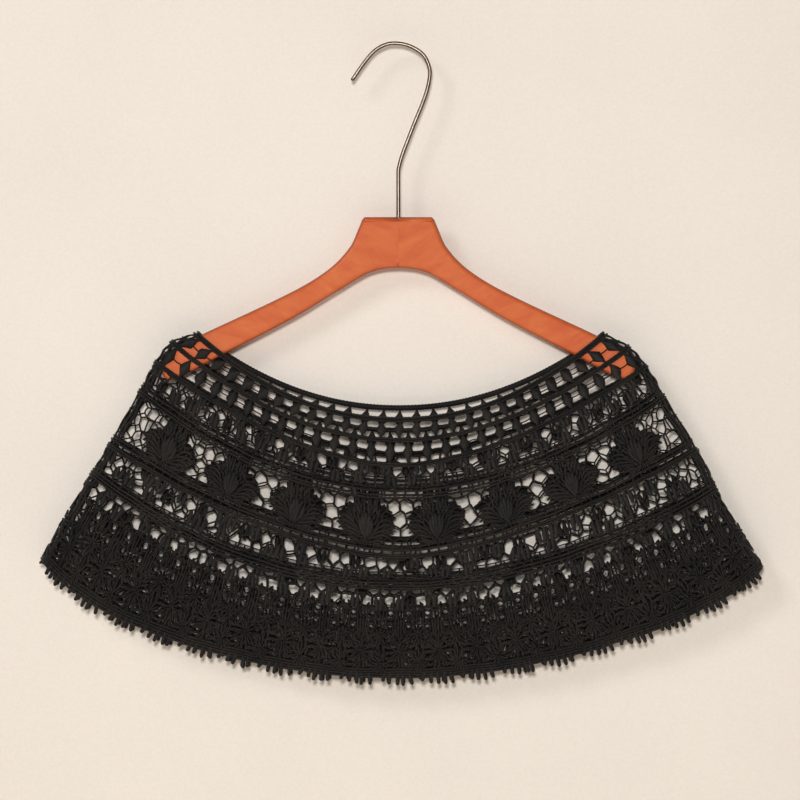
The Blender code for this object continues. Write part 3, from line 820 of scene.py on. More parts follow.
def place_piece(name: str, mesh: bpy.types.Mesh, material: bpy.types.Material) -> bpy.types.Object:
    """Make a piece from its mesh, dress it, and let it ride on the body.

    Args:
        name: Name of the piece.
        mesh: Its mesh, already in place.
        material: Its finish.

    Returns:
        The piece.
    """
    mesh.name = name
    mesh.materials.append(material)
    piece = bpy.data.objects.new(name, mesh)
    bpy.context.scene.collection.objects.link(piece)
    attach(piece, BODY)
    triangles = sum(len(face.vertices) - 2 for face in mesh.polygons)
    LOG.info("%s: %d triangles", name, triangles)
    return piece


# Charts of the lace


@dataclass(frozen=True)
class Mark:
    """One cord of a chart, by millimetres across from the repeat's middle and down from the strip's top."""
    stitch: Stitch
    route: tuple[tuple[float, float], ...]


@dataclass(frozen=True)
class Hole:
    """One gap of a chart: a tilted ellipse that the stitches leave free, in millimetres and degrees."""
    x: float
    y: float
    half_width: float
    half_height: float
    tilt: float = 0.0
    CORNERS = 8
    FIRST_CORNER = 0.4

    def rim(self, stitch: Stitch) -> Mark:
        """Cord once round the gap, through eight points.

        Args:
            stitch: The kind of cord.

        Returns:
            The mark, whose end meets its start.
        """
        grown = stitch.half_width / MM
        angle = np.linspace(0, 2 * math.pi, self.CORNERS + 1) + self.FIRST_CORNER
        across = (self.half_width + grown) * np.cos(angle)
        down = (self.half_height + grown) * np.sin(angle)
        turn = math.radians(self.tilt)
        x = self.x + across * math.cos(turn) - down * math.sin(turn)
        y = self.y + across * math.sin(turn) + down * math.cos(turn)
        return Mark(stitch, tuple(zip(x.tolist(), y.tolist())))

    def reaches(self, points: Array, pitch: float, margin: float) -> Array:
        """Whether points lie in the gap or in the same gap of a neighbouring repeat.

        A point is inside where (u / a)^2 + (v / b)^2 < 1 in the ellipse's own axes.

        Args:
            points: Chart points, as (..., 2).
            pitch: Width of a repeat.
            margin: Distance by which the gap is grown.

        Returns:
            True for each point inside.
        """
        turn = math.radians(self.tilt)
        across = np.mod(points[..., 0] - self.x + pitch / 2, pitch) - pitch / 2
        down = points[..., 1] - self.y
        u = across * math.cos(turn) + down * math.sin(turn)
        v = down * math.cos(turn) - across * math.sin(turn)
        return (u / (self.half_width + margin)) ** 2 + (v / (self.half_height + margin)) ** 2 < 1


@dataclass(frozen=True)
class Filling:
    """Short leaf stitches that close a chart around its gaps.

    Their middles stand on a staggered grid. Each points away from the nearest spray middle, and it is
    left out where it would run into a gap. Jitter, lean and bend are the spreads of their places,
    directions and middles, and lengths is the range that their length is multiplied by.
    """
    stitch: Stitch
    across: float
    down: float
    length: float
    margin: float
    jitter: float = 0.35
    lean: float = 0.22
    bend: float = 0.5
    lengths: tuple[float, float] = (0.8, 1.15)

    def marks(self, pitch: float, height: float, holes: tuple[Hole, ...],
              sprays: tuple[tuple[float, float], ...], seed: int) -> tuple[Mark, ...]:
        """Chart the stitches.

        Args:
            pitch: Width of the repeat, in millimetres.
            height: Height of the strip, in millimetres.
            holes: Its gaps.
            sprays: Middles that the stitches point away from.
            seed: Seed of the unevenness.

        Returns:
            One mark for each stitch.
        """
        random = np.random.default_rng(seed)
        columns, rows = int(round(pitch / self.across)), int(round(height / self.down)) + 1
        i, j = (g.ravel() for g in np.meshgrid(np.arange(columns), np.arange(rows), indexing="ij"))
        middle = np.stack([(i + 0.5 * (j % 2)) * pitch / columns - pitch / 2, j * height / (rows - 1)],
                          axis=1)
        middle = middle + random.normal(0, self.jitter, middle.shape)
        away = middle[:, None] - np.array(sprays)[None]
        away[..., 0] = np.mod(away[..., 0] + pitch / 2, pitch) - pitch / 2
        nearest = np.argmin(np.linalg.norm(away, axis=2), axis=1)
        away = unit(away[np.arange(len(away)), nearest] + 1e-6)
        lean = random.normal(0, self.lean, len(away))
        away = np.stack([away[:, 0] * np.cos(lean) - away[:, 1] * np.sin(lean),
                         away[:, 0] * np.sin(lean) + away[:, 1] * np.cos(lean)], axis=1)
        longer = self.length * random.uniform(*self.lengths, (len(away), 1, 1))
        steps = np.linspace(-0.5, 0.5, 5)[None, :, None] * longer
        spots = middle[:, None] + away[:, None] * steps
        bend = np.stack([-away[:, 1], away[:, 0]], axis=1) * random.normal(0, self.bend, (len(away), 1))
        spots[:, 2] += bend
        blocked = np.zeros(len(spots), bool)
        for hole in holes:
            blocked |= hole.reaches(spots, pitch, self.margin).any(axis=1)
        return tuple(Mark(self.stitch, tuple(map(tuple, route[::2].tolist()))) for route in spots[~blocked])


# A honeycomb's unevenness, its leaves' lean and its cords' bow in millimetres, the share of unevenness that
# front and back each add of their own, and how far leaves stand from a cell's middle as a share of the edge
CELL_WOBBLE = 0.9
CELL_LEAN = 0.7
CELL_BOW = 0.3
OWN_SHARE = 0.3
LEAF_SPREAD = 0.37


@dataclass(frozen=True)
class Strip:
    """A row of equal repeats between two levels, with the size that its chart is drawn at."""
    top: float
    bottom: float
    repeats: int
    pitch: float
    height: float
    wobble: float = 0.35

    def level_at(self, down: Array) -> Array:
        """Levels at millimetres down from the strip's top."""
        return self.top + down / self.height * (self.bottom - self.top)

    def lay(self, work: CordWork, marks: tuple[Mark, ...]) -> None:
        """Lay every repeat of the chart on both sides, each a little uneven.

        Args:
            work: Piece that gets the cords.
            marks: The chart.
        """
        count = 2 * self.repeats
        middles = (np.arange(count) + 0.5) / self.repeats
        for mark in marks:
            chart = np.array(mark.route, float)
            spots = chart[None] + work.random.normal(0, self.wobble, (count, len(chart), 2))
            spots = spots + work.random.normal(0, self.wobble * 0.6, (count, 1, 2))
            turn = middles[:, None] + spots[..., 0] / self.pitch / self.repeats
            work.lay(turn, self.level_at(spots[..., 1]), mark.stitch)

    def lay_cells(self, work: CordWork, edge: float, closed: tuple[int, ...],
                  behind: tuple[int, ...]) -> None:
        """Lay an uneven honeycomb over the whole strip, and close some of its cells with two leaves each.

        Node (i, j) stands at x = i * length / columns, steps of about edge * sqrt(3) / 2, and at
        y = j * tall, raised by tall / 3 where i + j is odd. Every node joins its right neighbour, and an
        even one the node below. Under each odd node lies a cell. It is closed where (f // 2 + 2 j) mod 7
        is one of the given numbers, f being the columns to the left fold by the shorter way.
        The back hangs higher, so its rows start one row up and are moved down by as much: seen from the
        front, its nodes stand behind the front's, each a little off.

        Args:
            work: Piece that gets the cords.
            edge: Side of a cell, in millimetres.
            closed: Numbers of the front's cells in a run of seven that are closed.
            behind: The same for the back's cells.
        """
        length = 2 * self.repeats * self.pitch
        columns = 2 * int(round(length / (edge * math.sqrt(3))))
        rows = int(round(self.height / (1.5 * edge))) + 2
        tall = self.height / (rows - 2)
        i, j = np.meshgrid(np.arange(columns), np.arange(rows), indexing="ij")
        back = i > columns / 2
        j = j - back
        odd = (i + j) % 2
        facing = np.minimum(i, columns - i)
        off = work.random.normal(0, CELL_WOBBLE, (2, *i.shape))[:, facing, j]
        off[0] = np.where(back, -off[0], off[0])
        off = off + work.random.normal(0, CELL_WOBBLE * OWN_SHARE, off.shape)
        x = i * length / columns + off[0]
        y = (j + back * self.rise(work) / tall) * tall - odd * tall / 3 + off[1]
        nodes = np.stack([x, np.clip(y, 0, self.height)], axis=-1)
        right = np.roll(nodes, -1, axis=0)
        right[-1, :, 0] += length
        across = np.stack([nodes, right], axis=2).reshape(-1, 2, 2)
        down = np.stack([nodes[:, :-1], nodes[:, 1:]], axis=2)[odd[:, :-1] == 0]
        ends = np.concatenate((across, down))
        edging = (ends[..., 1] <= 0).all(axis=1) | (ends[..., 1] >= self.height).all(axis=1)
        self.lay_spots(work, RIM, ends[~edging])
        run = (facing // 2 + 2 * j) % 7
        centre = y + tall * 2 / 3
        shut = (odd == 1) & np.where(back, np.isin(run, behind), np.isin(run, closed))
        shut &= (centre > tall * 0.25) & (centre < self.height - tall * 0.25)
        spread = edge * LEAF_SPREAD
        middle = np.concatenate([np.stack([x[shut] + side, centre[shut]], axis=-1)
                                 for side in (-spread, spread)])
        lean = work.random.normal(0, CELL_LEAN, len(middle))
        half = np.stack([lean, np.full(len(middle), tall * 0.5)], axis=-1)
        leaves = np.stack([middle - half, middle + half], axis=1)
        leaves[..., 1] = np.clip(leaves[..., 1], 0, self.height)
        self.lay_spots(work, CELL_LEAF, leaves)

    def rise(self, work: CordWork) -> float:
        """How much higher the back's rows hang at this strip, in the chart's millimetres.

        Args:
            work: Piece that knows the garment.

        Returns:
            The rise.
        """
        real = (work.garment.inner(np.array([0.5]), np.array([self.top]))
                - work.garment.inner(np.array([0.5]), np.array([self.bottom])))[0, 2]
        lift = np.interp((self.top + self.bottom) / 2, np.arange(len(BACK_RISE)), BACK_RISE)
        return float(lift / real * self.height)

    def lay_spots(self, work: CordWork, stitch: Stitch, ends: Array) -> None:
        """Lay slightly bowed cords between pairs of places that are given in millimetres all round.

        Args:
            work: Piece that gets the cords.
            stitch: The kind of cord.
            ends: Both ends of each cord, as (n, 2, 2).
        """
        middle = ends.mean(axis=1, keepdims=True) + work.random.normal(0, CELL_BOW, (len(ends), 1, 2))
        route = np.concatenate((ends[:, :1], middle, ends[:, 1:]), axis=1)
        work.lay(route[..., 0] / self.pitch / self.repeats, self.level_at(route[..., 1]), stitch)


def drawn(stitch: Stitch, *routes: tuple[tuple[float, float], ...]) -> tuple[Mark, ...]:
    """One mark of a stitch for each route."""
    return tuple(Mark(stitch, route) for route in routes)


def mirrored(marks: tuple[Mark, ...]) -> tuple[Mark, ...]:
    """A chart and its mirror image across the repeat's middle."""
    return marks + tuple(Mark(m.stitch, tuple((-x, y) for x, y in m.route)) for m in marks)


@dataclass(frozen=True)
class Ladder:
    """Short upright bars under a row, with a fine cord along their tops and a broad one across them."""
    strip: Strip
    top_level: float
    cord_level: float
    top_stitch: Stitch = TWINE
    top_spacing: float = 2.6 * MM

    def lay(self, work: CordWork) -> None:
        """Lay the bars and both cords all round.

        Args:
            work: Piece that gets them.
        """
        self.strip.lay(work, drawn(BAR, ((0, 0), (0, self.strip.height))))
        work.loop(self.top_level, self.top_stitch, self.top_spacing, sway=0.2 * MM)
        work.loop(self.cord_level, LADDER_CORD, 2.6 * MM, sway=0.3 * MM)


class LaceRow:
    """Base of the lace's pieces: each lays its cords and logs its flat cut."""
    name = "lace_row"
    levels = (0.0, 1.0)
    seed = 1
    edging: tuple[str, ...] = ()
    OPEN_BELOW = 0.75
    LEAST_SHARE = 0.32

    def __init__(self, garment: Garment) -> None:
        """Keep the surface and start the cord work."""
        self.garment = garment
        self.work = CordWork(garment, self.seed)

    def chart(self) -> None:
        """Lay the piece's cords."""
        raise NotImplementedError

    def build(self, material: bpy.types.Material, slot: str, nodes: tuple[str, ...]) -> bpy.types.Object:
        """Lay, mesh and dress the piece, and let it stand for its solids.

        Args:
            material: Its finish.
            slot: Not used.
            nodes: Names of the solids that it stands for.

        Returns:
            The piece.
        """
        self.chart()
        piece = place_piece(self.name, self.work.mesh(self.name), material)
        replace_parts(piece, *nodes)
        self.declare(piece)
        return piece

    def flat_cut(self) -> tuple[float, float]:
        """Length of the ring at the row's middle, and the row's height, in metres."""
        top, bottom = self.levels
        middle = (top + bottom) / 2
        _, by_level = self.garment.steps(np.array([0.5, 1.5]), np.full(2, middle))
        return self.garment.length(middle), float(np.linalg.norm(by_level, axis=1).mean()) * (bottom - top)

    @staticmethod
    def cloth_area(piece: bpy.types.Object) -> float:
        """Flat area of the thread work itself, without its gaps: half of the cords' surface.

        Args:
            piece: The meshed row.

        Returns:
            The area in square metres.
        """
        areas = np.zeros(len(piece.data.polygons))
        piece.data.polygons.foreach_get("area", areas)
        return float(areas.sum()) / 2

    def declare(self, piece: bpy.types.Object) -> None:
        """Log the row's flat cut all round, and the share of that rectangle that its thread covers. Lace
        is cut through between its cords, so where the thread's share of the rectangle is under 0.75 the
        area is that share of it, and never under 0.32 of it.

        Args:
            piece: The meshed row.
        """
        width, height = self.flat_cut()
        share = self.cloth_area(piece) / (width * height)
        LOG.info("%s: flat %.3f x %.3f m, thread share %.2f", self.name, width, height, share)


class Ribbons(LaceRow):
    """The five ribbons that part the rows, each of two beaded cords side by side."""
    name = "lace_ribbons"
    levels = (0.9, 1.1)
    seed = 11
    SPACING = 1.6 * MM
    LEVELS = (1.0, 2.0, 3.0, 3.985, 5.0)
    APART = (1.05, 1.05, 1.25, 1.05, 1.25)

    def chart(self) -> None:
        """Lay both cords of every ribbon all round."""
        for level, apart in zip(self.LEVELS, self.APART):
            _, by_level = self.garment.steps(np.array([0.5]), np.array([level]))
            step = apart * MM / float(np.linalg.norm(by_level))
            for side in (-step, step):
                self.work.loop(level + side, RIBBON, self.SPACING, bead=0.16, bead_pitch=4.2 * MM,
                               sway=0.2 * MM)

    def flat_cut(self) -> tuple[float, float]:
        """Mean length of the five ribbons, and the widths of their cords side by side."""
        return sum(self.garment.length(level) for level in self.LEVELS) / 5, 5 * 4 * RIBBON.half_width


class BlobRows(LaceRow):
    """Two rows of padded blobs under the neck, each blob tied by fine twine to the ribbons and the next."""
    name = "lace_blob_rows"
    levels = (0.15, 2.0)
    seed = 12
    edging = ("neck_band_cords",)
    ROWS = (Strip(0.17, 0.95, 27, 17.1, 15.8, 0.25), Strip(1.04, 1.96, 28, 17.6, 20.3, 0.25))

    def chart(self) -> None:
        """Lay each row's blobs and the twine between them."""
        for strip in self.ROWS:
            middle = strip.height / 2
            stops = (-0.4, middle * 0.5, middle, middle * 1.5, strip.height + 0.4)
            tie = ((3.6, middle), (strip.pitch / 2, middle + 0.2), (strip.pitch - 3.6, middle))
            strip.lay(self.work, drawn(BLOB, tuple((0, y) for y in stops)) + drawn(TWINE, tie))


class CellRow(LaceRow):
    """Base of the rows of polygon eyelets between pairs of leaves, over a ladder or the border."""
    ROW: Strip
    EDGE: float
    CLOSED: tuple[int, ...]
    BEHIND: tuple[int, ...]
    LADDER: Ladder | None = None

    def chart(self) -> None:
        """Lay the cells and leaves, then the ladder."""
        self.ROW.lay_cells(self.work, self.EDGE, self.CLOSED, self.BEHIND)
        if self.LADDER:
            self.LADDER.lay(self.work)


class LeafRow(CellRow):
    """Row of leaf clusters between small polygon eyelets, over a short ladder."""
    name = "lace_leaf_row"
    levels = (2.08, 2.95)
    seed = 13
    ROW = Strip(2.07, 2.79, 12, 42.0, 20.0)
    EDGE = 5.9
    CLOSED = (0, 2, 5)
    BEHIND = (1, 4)
    LADDER = Ladder(Strip(2.78, 2.96, 54, 9.2, 5.2, 0.2), 2.785, 2.865)


@dataclass(frozen=True)
class ShellPlaces:
    """Where the shells stand along a panel: even between narrower stretches at the side folds."""
    shells: int = 8
    end_share: float = 0.68
    fold_margin: float = 0.010

    def turns(self) -> Array:
        """Turns of all the shells, front then back."""
        parts = self.shells - 1 + 2 * self.end_share
        steps = (self.end_share + np.arange(self.shells)) / parts
        along = self.fold_margin + steps * (1 - 2 * self.fold_margin)
        return np.concatenate((along, 2 - along[::-1]))

    def pitch(self) -> float:
        """Turn between two neighbouring shells."""
        return (1 - 2 * self.fold_margin) / (self.shells - 1 + 2 * self.end_share)


class ShellRow(LaceRow):
    """Row of scallop shells: a fan of grooved fingers between two wings of cords, over a ladder."""
    name = "lace_shell_row"
    levels = (3.05, 3.95)
    seed = 14
    # The pitch is the distance between two shells, whose places come from ShellPlaces
    FIELD = Strip(3.05, 3.80, 1, 66.5, 40.0)
    PLACES = ShellPlaces()
    LADDER = Ladder(Strip(3.79, 3.96, 67, 8.3, 8.0, 0.2), 3.795, 3.862, CORD, 2.4 * MM)
    FINGER_ANGLES = (-30, -15, 0, 15, 30)
    FINGER_LENGTHS = (18.0, 20.5, 21.5, 20.5, 18.0)
    FINGER_BOW = 0.35
    FINGER_WOBBLE = 0.45
    # Heights between which the ground's leaves stand, their step down and half their distance across, and
    # half their length
    BODY_HEIGHTS = (5.0, 41.0)
    BODY_STEPS = (4.1, 1.9)
    BODY_LEAF = 3.1
    BASE = (0.0, 35.5)
    WINGS = drawn(RIB, ((-2, 35.5), (-8.5, 29), (-12, 22), (-11, 14.5))) + drawn(
        WING,
        ((-9.9, 24.3), (-14, 20.6), (-19, 18.6), (-24.5, 20.4)),
        ((-9.4, 27.6), (-15, 23.8), (-21, 22.6), (-28, 25.2)),
        ((-7.6, 31.4), (-13.5, 28), (-19.5, 26.8), (-26, 29.6)),
        ((-5.6, 34.6), (-11, 32), (-17, 31), (-22, 33.4)),
        ((-4.6, 38.2), (-9.5, 36), (-14.5, 35.6), (-18.5, 37.6)),
    ) + drawn(CORD, ((-12.6, 16.6), (-16.4, 15.4), (-19.8, 17.4))) + drawn(
        BAR,
        ((-10.6, -0.5), (-10.6, 7), (-11.2, 15)),
        ((-7.6, -0.5), (-7.6, 6), (-7.8, 13.5)),
        ((-4.7, -0.5), (-4.8, 6), (-4.8, 12.5)),
        ((-1.7, -0.5), (-1.8, 5), (-1.8, 12)),
        ((-4.4, 36), (-4.6, 38.5), (-4.8, 41.5)),
        ((-8.4, 37), (-8.8, 39), (-9.2, 41.5)),
    )
    MIDDLE_MARKS = drawn(
        CORD, ((-12, 15.5), (-8.5, 12), (-4, 13.4), (0, 10.8), (4, 13.4), (8.5, 12), (12, 15.5)),
    ) + drawn(RIB, ((-1.4, 35), (-1.6, 38), (-1.4, 41.5)), ((1.6, 35), (1.6, 38), (1.6, 41.5)))
    # Half width of a shell at heights from the strip's top, in millimetres
    HEIGHTS = (0.0, 6.0, 12.0, 17.0, 20.5, 24.5, 28.0, 32.0, 36.0, 41.0)
    HALF_WIDTHS = (9.0, 9.0, 11.5, 15.5, 21.5, 26.0, 23.0, 16.0, 12.0, 11.0)

    def body(self) -> tuple[Mark, ...]:
        """Ground of the shell: short leaves on a staggered grid in its outline, pointing from its base.

        Returns:
            One mark for each leaf.
        """
        made = []
        down, across = self.BODY_STEPS
        for number, y in enumerate(np.arange(*self.BODY_HEIGHTS, down)):
            half = float(np.interp(y, self.HEIGHTS, self.HALF_WIDTHS)) - 1.0
            for x in np.linspace(-half, half, int(round(half / across)) + number % 2):
                way = unit(np.array((x - self.BASE[0] + 0.1, y - self.BASE[1] - 2.0))) * self.BODY_LEAF
                made.append(((x - way[0], y - way[1]), (x + 0.4, y), (x + way[0], y + way[1])))
        return drawn(GROUND, *made)

    def lay_at(self, marks: tuple[Mark, ...], wobble: float = 0.3) -> None:
        """Lay a chart at every shell.

        Args:
            marks: The chart, in millimetres from the shell's middle line and the strip's top.
            wobble: Unevenness of the route points, in millimetres.
        """
        turns = self.PLACES.turns()
        for mark in marks:
            chart = np.array(mark.route, float)
            spots = chart[None] + self.work.random.normal(0, wobble, (len(turns), len(chart), 2))
            turn = turns[:, None] + spots[..., 0] / self.FIELD.pitch * self.PLACES.pitch()
            self.work.lay(turn, self.FIELD.level_at(spots[..., 1]), mark.stitch)

    def fingers(self) -> tuple[Mark, ...]:
        """The fan's fingers: from the base outward, at an angle from upright, each bowed inward.

        Returns:
            One mark for each finger.
        """
        made = []
        base_x, base_y = self.BASE
        for angle, length in zip(self.FINGER_ANGLES, self.FINGER_LENGTHS):
            turn = math.radians(angle)
            bow = math.radians(angle * self.FINGER_BOW)
            middle = (base_x + 0.5 * length * math.sin(turn), base_y - 0.5 * length * math.cos(turn))
            tip = (middle[0] + 0.5 * length * math.sin(bow), middle[1] - 0.5 * length * math.cos(bow))
            made.append((self.BASE, middle, tip))
        return drawn(FAN_FINGER, *made)

    def chart(self) -> None:
        """Lay the ground, the wings and pins, the middle's arch and ribs, the fingers, and the ladder."""
        self.lay_at(self.body())
        self.lay_at(mirrored(self.WINGS))
        self.lay_at(self.MIDDLE_MARKS)
        self.lay_at(self.fingers(), self.FINGER_WOBBLE)
        self.LADDER.lay(self.work)


class ShellNet(LaceRow):
    """Fine net of uneven six-sided meshes that fills the hourglass between two shells."""
    name = "lace_shell_net"
    levels = (3.05, 3.80)
    seed = 15
    EDGE = 7.1
    WOBBLE = 1.0
    SHIFT = 2.0
    OWN_WOBBLE = 0.3
    BOW = 0.4
    # Distance by which the net runs past the strip and under the shells, and its shortest cord
    PAST = 0.8
    UNDER = 2.5
    SHORTEST = 1.5

    def lattice(self, half_width: float) -> tuple[Array, Array]:
        """Nodes and edges of a honeycomb that covers one hourglass.

        Node (i, j) stands at x = i * edge * sqrt(3) / 2 and y = j * 1.5 * edge, raised by half an edge
        where i + j is odd. Every node joins its right neighbour, and an even one the node below.

        Args:
            half_width: Half of the covered width, in millimetres.

        Returns:
            Node places as (n, 2) and pairs of node numbers as (m, 2).
        """
        step = self.EDGE * math.sqrt(3) / 2
        columns = 2 * int(half_width / step + 1) + 1
        rows = int(ShellRow.FIELD.height / (1.5 * self.EDGE)) + 4
        i, j = np.meshgrid(np.arange(columns), np.arange(rows), indexing="ij")
        odd = (i + j) % 2
        x = (i - (columns - 1) / 2) * step
        y = (j - 1.6) * 1.5 * self.EDGE - odd * self.EDGE / 2
        number = i * rows + j
        across = np.stack([number[:-1].ravel(), number[1:].ravel()], axis=1)
        even = (odd == 0)[:, :-1]
        down = np.stack([number[:, :-1][even], number[:, 1:][even]], axis=1)
        return np.stack([x, y], axis=-1).reshape(-1, 2), np.concatenate((across, down))

    def lay_cell(self, middle: float, half_pitch: float) -> None:
        """Fill the net around one middle line, between the shells on both of its sides.

        A net of the back is drawn as the mirrored net of the front that lies over it, a little off.

        Args:
            middle: Turn of the net's middle.
            half_pitch: Distance from there to the shells' middles, in millimetres.
        """
        field = ShellRow.FIELD
        nodes, edges = self.lattice(half_pitch)
        across = min(middle % 2, 2 - middle % 2)
        random = np.random.default_rng((self.seed, int(round(across * 1000))))
        nodes = nodes + random.normal(0, self.WOBBLE, nodes.shape)
        nodes = nodes + random.uniform(-self.SHIFT, self.SHIFT, (1, 2))
        if middle % 2 > 1:
            nodes = nodes * (-1, 1) + (0, field.rise(self.work))
        nodes = nodes + random.normal(0, self.OWN_WOBBLE, nodes.shape)
        nodes[:, 1] = np.clip(nodes[:, 1], -self.PAST, field.height + self.PAST)
        ends = nodes[edges]
        ends = ends[np.linalg.norm(ends[:, 0] - ends[:, 1], axis=1) > self.SHORTEST]
        centre = ends.mean(axis=1)
        clear = half_pitch - np.interp(centre[:, 1], ShellRow.HEIGHTS, ShellRow.HALF_WIDTHS)
        ends = ends[np.abs(centre[:, 0]) < clear + self.UNDER]
        bow = ends.mean(axis=1) + self.work.random.normal(0, self.BOW, (len(ends), 2))
        route = np.stack([ends[:, 0], bow, ends[:, 1]], axis=1)
        turn = middle + route[..., 0] / field.pitch * ShellRow.PLACES.pitch()
        self.work.lay(turn, field.level_at(route[..., 1]), NET)

    def chart(self) -> None:
        """Lay the net between neighbouring shells, and the wider ones round the side folds."""
        turns = ShellRow.PLACES.turns()
        gaps = np.diff(np.append(turns, turns[0] + 2))
        for start, gap in zip(turns, gaps):
            self.lay_cell(start + gap / 2, gap / ShellRow.PLACES.pitch() * ShellRow.FIELD.pitch / 2)


class EyeletRow(CellRow):
    """Row of larger polygon eyelets with leaves between, over a ladder."""
    name = "lace_eyelet_row"
    levels = (4.04, 4.95)
    seed = 16
    ROW = Strip(4.05, 4.72, 14, 42.5, 18.0)
    EDGE = 6.3
    CLOSED = (0, 4, 5)
    BEHIND = (2, 6)
    LADDER = Ladder(Strip(4.71, 4.95, 72, 8.3, 6.4, 0.2), 4.715, 4.83)


class RhombRow(CellRow):
    """Row of polygon eyelets between upright leaves, over the border."""
    name = "lace_rhomb_row"
    levels = (5.05, 6.05)
    seed = 17
    ROW = Strip(5.10, 6.04, 19, 33.2, 19.0)
    EDGE = 5.7
    CLOSED = (2, 4, 6)
    BEHIND = (0,)


class HemGround(LaceRow):
    """Ground of the deep border: short leaf stitches that leave nine rimmed slots a repeat."""
    name = "lace_hem_ground"
    levels = (6.0, 7.0)
    seed = 18
    BORDER = Strip(6.0, 6.99, 19, 37.0, 59.0, 0.3)
    HOLES = (
        Hole(-8.8, 7.0, 3.3, 4.6, 0), Hole(8.8, 7.0, 3.3, 4.6, 0), Hole(-9.0, 19.5, 2.3, 2.8, 10),
        Hole(9.0, 19.5, 2.3, 2.8, -10), Hole(0.0, 4.0, 1.7, 2.6), Hole(-17.6, 14.6, 2.2, 2.0),
        Hole(-9.8, 31.0, 1.6, 2.4, -30), Hole(9.8, 31.0, 1.6, 2.4, 30), Hole(18.5, 4.6, 2.2, 3.4),
    )
    MIDDLES = ((0.0, 38.0), (18.5, 21.0), (0.0, 14.0), (18.5, 50.0))

    def chart(self) -> None:
        """Lay the ground over the whole border."""
        ground = Filling(GROUND, across=3.7, down=5.0, length=6.8, margin=0.9)
        marks = ground.marks(self.BORDER.pitch, self.BORDER.height, self.HOLES, self.MIDDLES, 19)
        self.BORDER.lay(self.work, marks)
        self.BORDER.lay(self.work, tuple(hole.rim(TWINE) for hole in self.HOLES))


class HemFans(LaceRow):
    """Raised work on the border: bundles of bars that end in flowers, rings between, and cords at the hem."""
    name = "lace_hem_fans"
    levels = (6.0, 7.0)
    seed = 19
    # Sprays of petals: middle, angles with 90 down, reach from the middle, and length added to the lower ones
    SPRAYS = (
        ((0.0, 38.0), np.arange(13) * 360 / 13 + 90, (1.4, 8.6), 4.0),
        ((18.5, 26.0), np.arange(10) * 36 + 18, (1.4, 7.4), 0.0),
        ((18.5, 47.0), np.linspace(5, 175, 8), (1.0, 8.0), 1.5),
    )
    TOP_CORD = 6.02
    HEM_CORDS = (6.885, 6.92, 6.955, 6.99)
    BARS = drawn(
        RIB,
        ((-4.8, 1.5), (-4.4, 14), (-3.2, 28)),
        ((-1.7, 2.5), (-1.6, 15), (-1.2, 29)),
        ((1.5, 1.5), (1.5, 14), (1.3, 29)),
        ((4.7, 2.5), (4.3, 15), (3.3, 28)),
        ((-13.6, 2.0), (-13.2, 12), (-15.0, 19.5)),
        ((13.6, 2.0), (13.2, 12), (15.0, 19.5)),
        ((17.0, 1.5), (17.4, 8), (17.6, 17)),
        ((20.2, 1.5), (19.8, 8), (19.4, 17)),
        ((-5.5, 29), (-8.4, 25.6), (-11.0, 24.6)),
        ((5.5, 29), (8.4, 25.6), (11.0, 24.6)),
        ((18.5, 34), (18.3, 39), (18.5, 45)),
    ) + drawn(
        SEED,
        ((17.2, 26.2), (18.5, 25.8), (19.8, 26.2)),
        ((-1.3, 38.2), (0, 37.8), (1.3, 38.2)),
    ) + drawn(
        GROUND,
        ((7.6, 38.4), (9.8, 40.7), (12.0, 43.0)),
        ((10.6, 37.8), (11.6, 40.5), (12.6, 43.2)),
    )
    RINGS = (Hole(-8.8, 7.0, 3.2, 4.4), Hole(8.8, 7.0, 3.2, 4.4), Hole(-9.0, 19.5, 2.5, 3.1),
             Hole(9.0, 19.5, 2.5, 3.1), Hole(-11.2, 33.4, 2.2, 2.2), Hole(11.2, 33.4, 2.2, 2.2))

    @staticmethod
    def spray(middle: tuple[float, float], angles: Array, reach: tuple[float, float],
              longer: float) -> tuple[Mark, ...]:
        """Petals that spread from one middle.

        Args:
            middle: The middle.
            angles: Their angles in degrees, 0 to the right and 90 down.
            reach: Distances from the middle at which they start and end.
            longer: Length added to the ones that point down.

        Returns:
            One mark for each petal.
        """
        made = []
        for angle in np.radians(angles):
            end = reach[1] + longer * max(0.0, math.sin(angle))
            made.append(tuple((middle[0] + r * math.cos(angle), middle[1] + r * math.sin(angle))
                              for r in np.linspace(reach[0], end, 3)))
        return drawn(PETAL, *made)

    def chart(self) -> None:
        """Lay the bars, rings and sprays of petals, then the cords that close the border and its hem."""
        border = HemGround.BORDER
        border.lay(self.work, self.BARS)
        border.lay(self.work, tuple(ring.rim(CORD) for ring in self.RINGS))
        for spray in self.SPRAYS:
            border.lay(self.work, self.spray(*spray))
        self.work.loop(self.TOP_CORD, TWINE, 2.6 * MM, sway=0.6 * MM)
        for level in self.HEM_CORDS:
            self.work.loop(level, HEM_CORD, 2.2 * MM, bead=0.12, bead_pitch=7 * MM, sway=0.3 * MM)


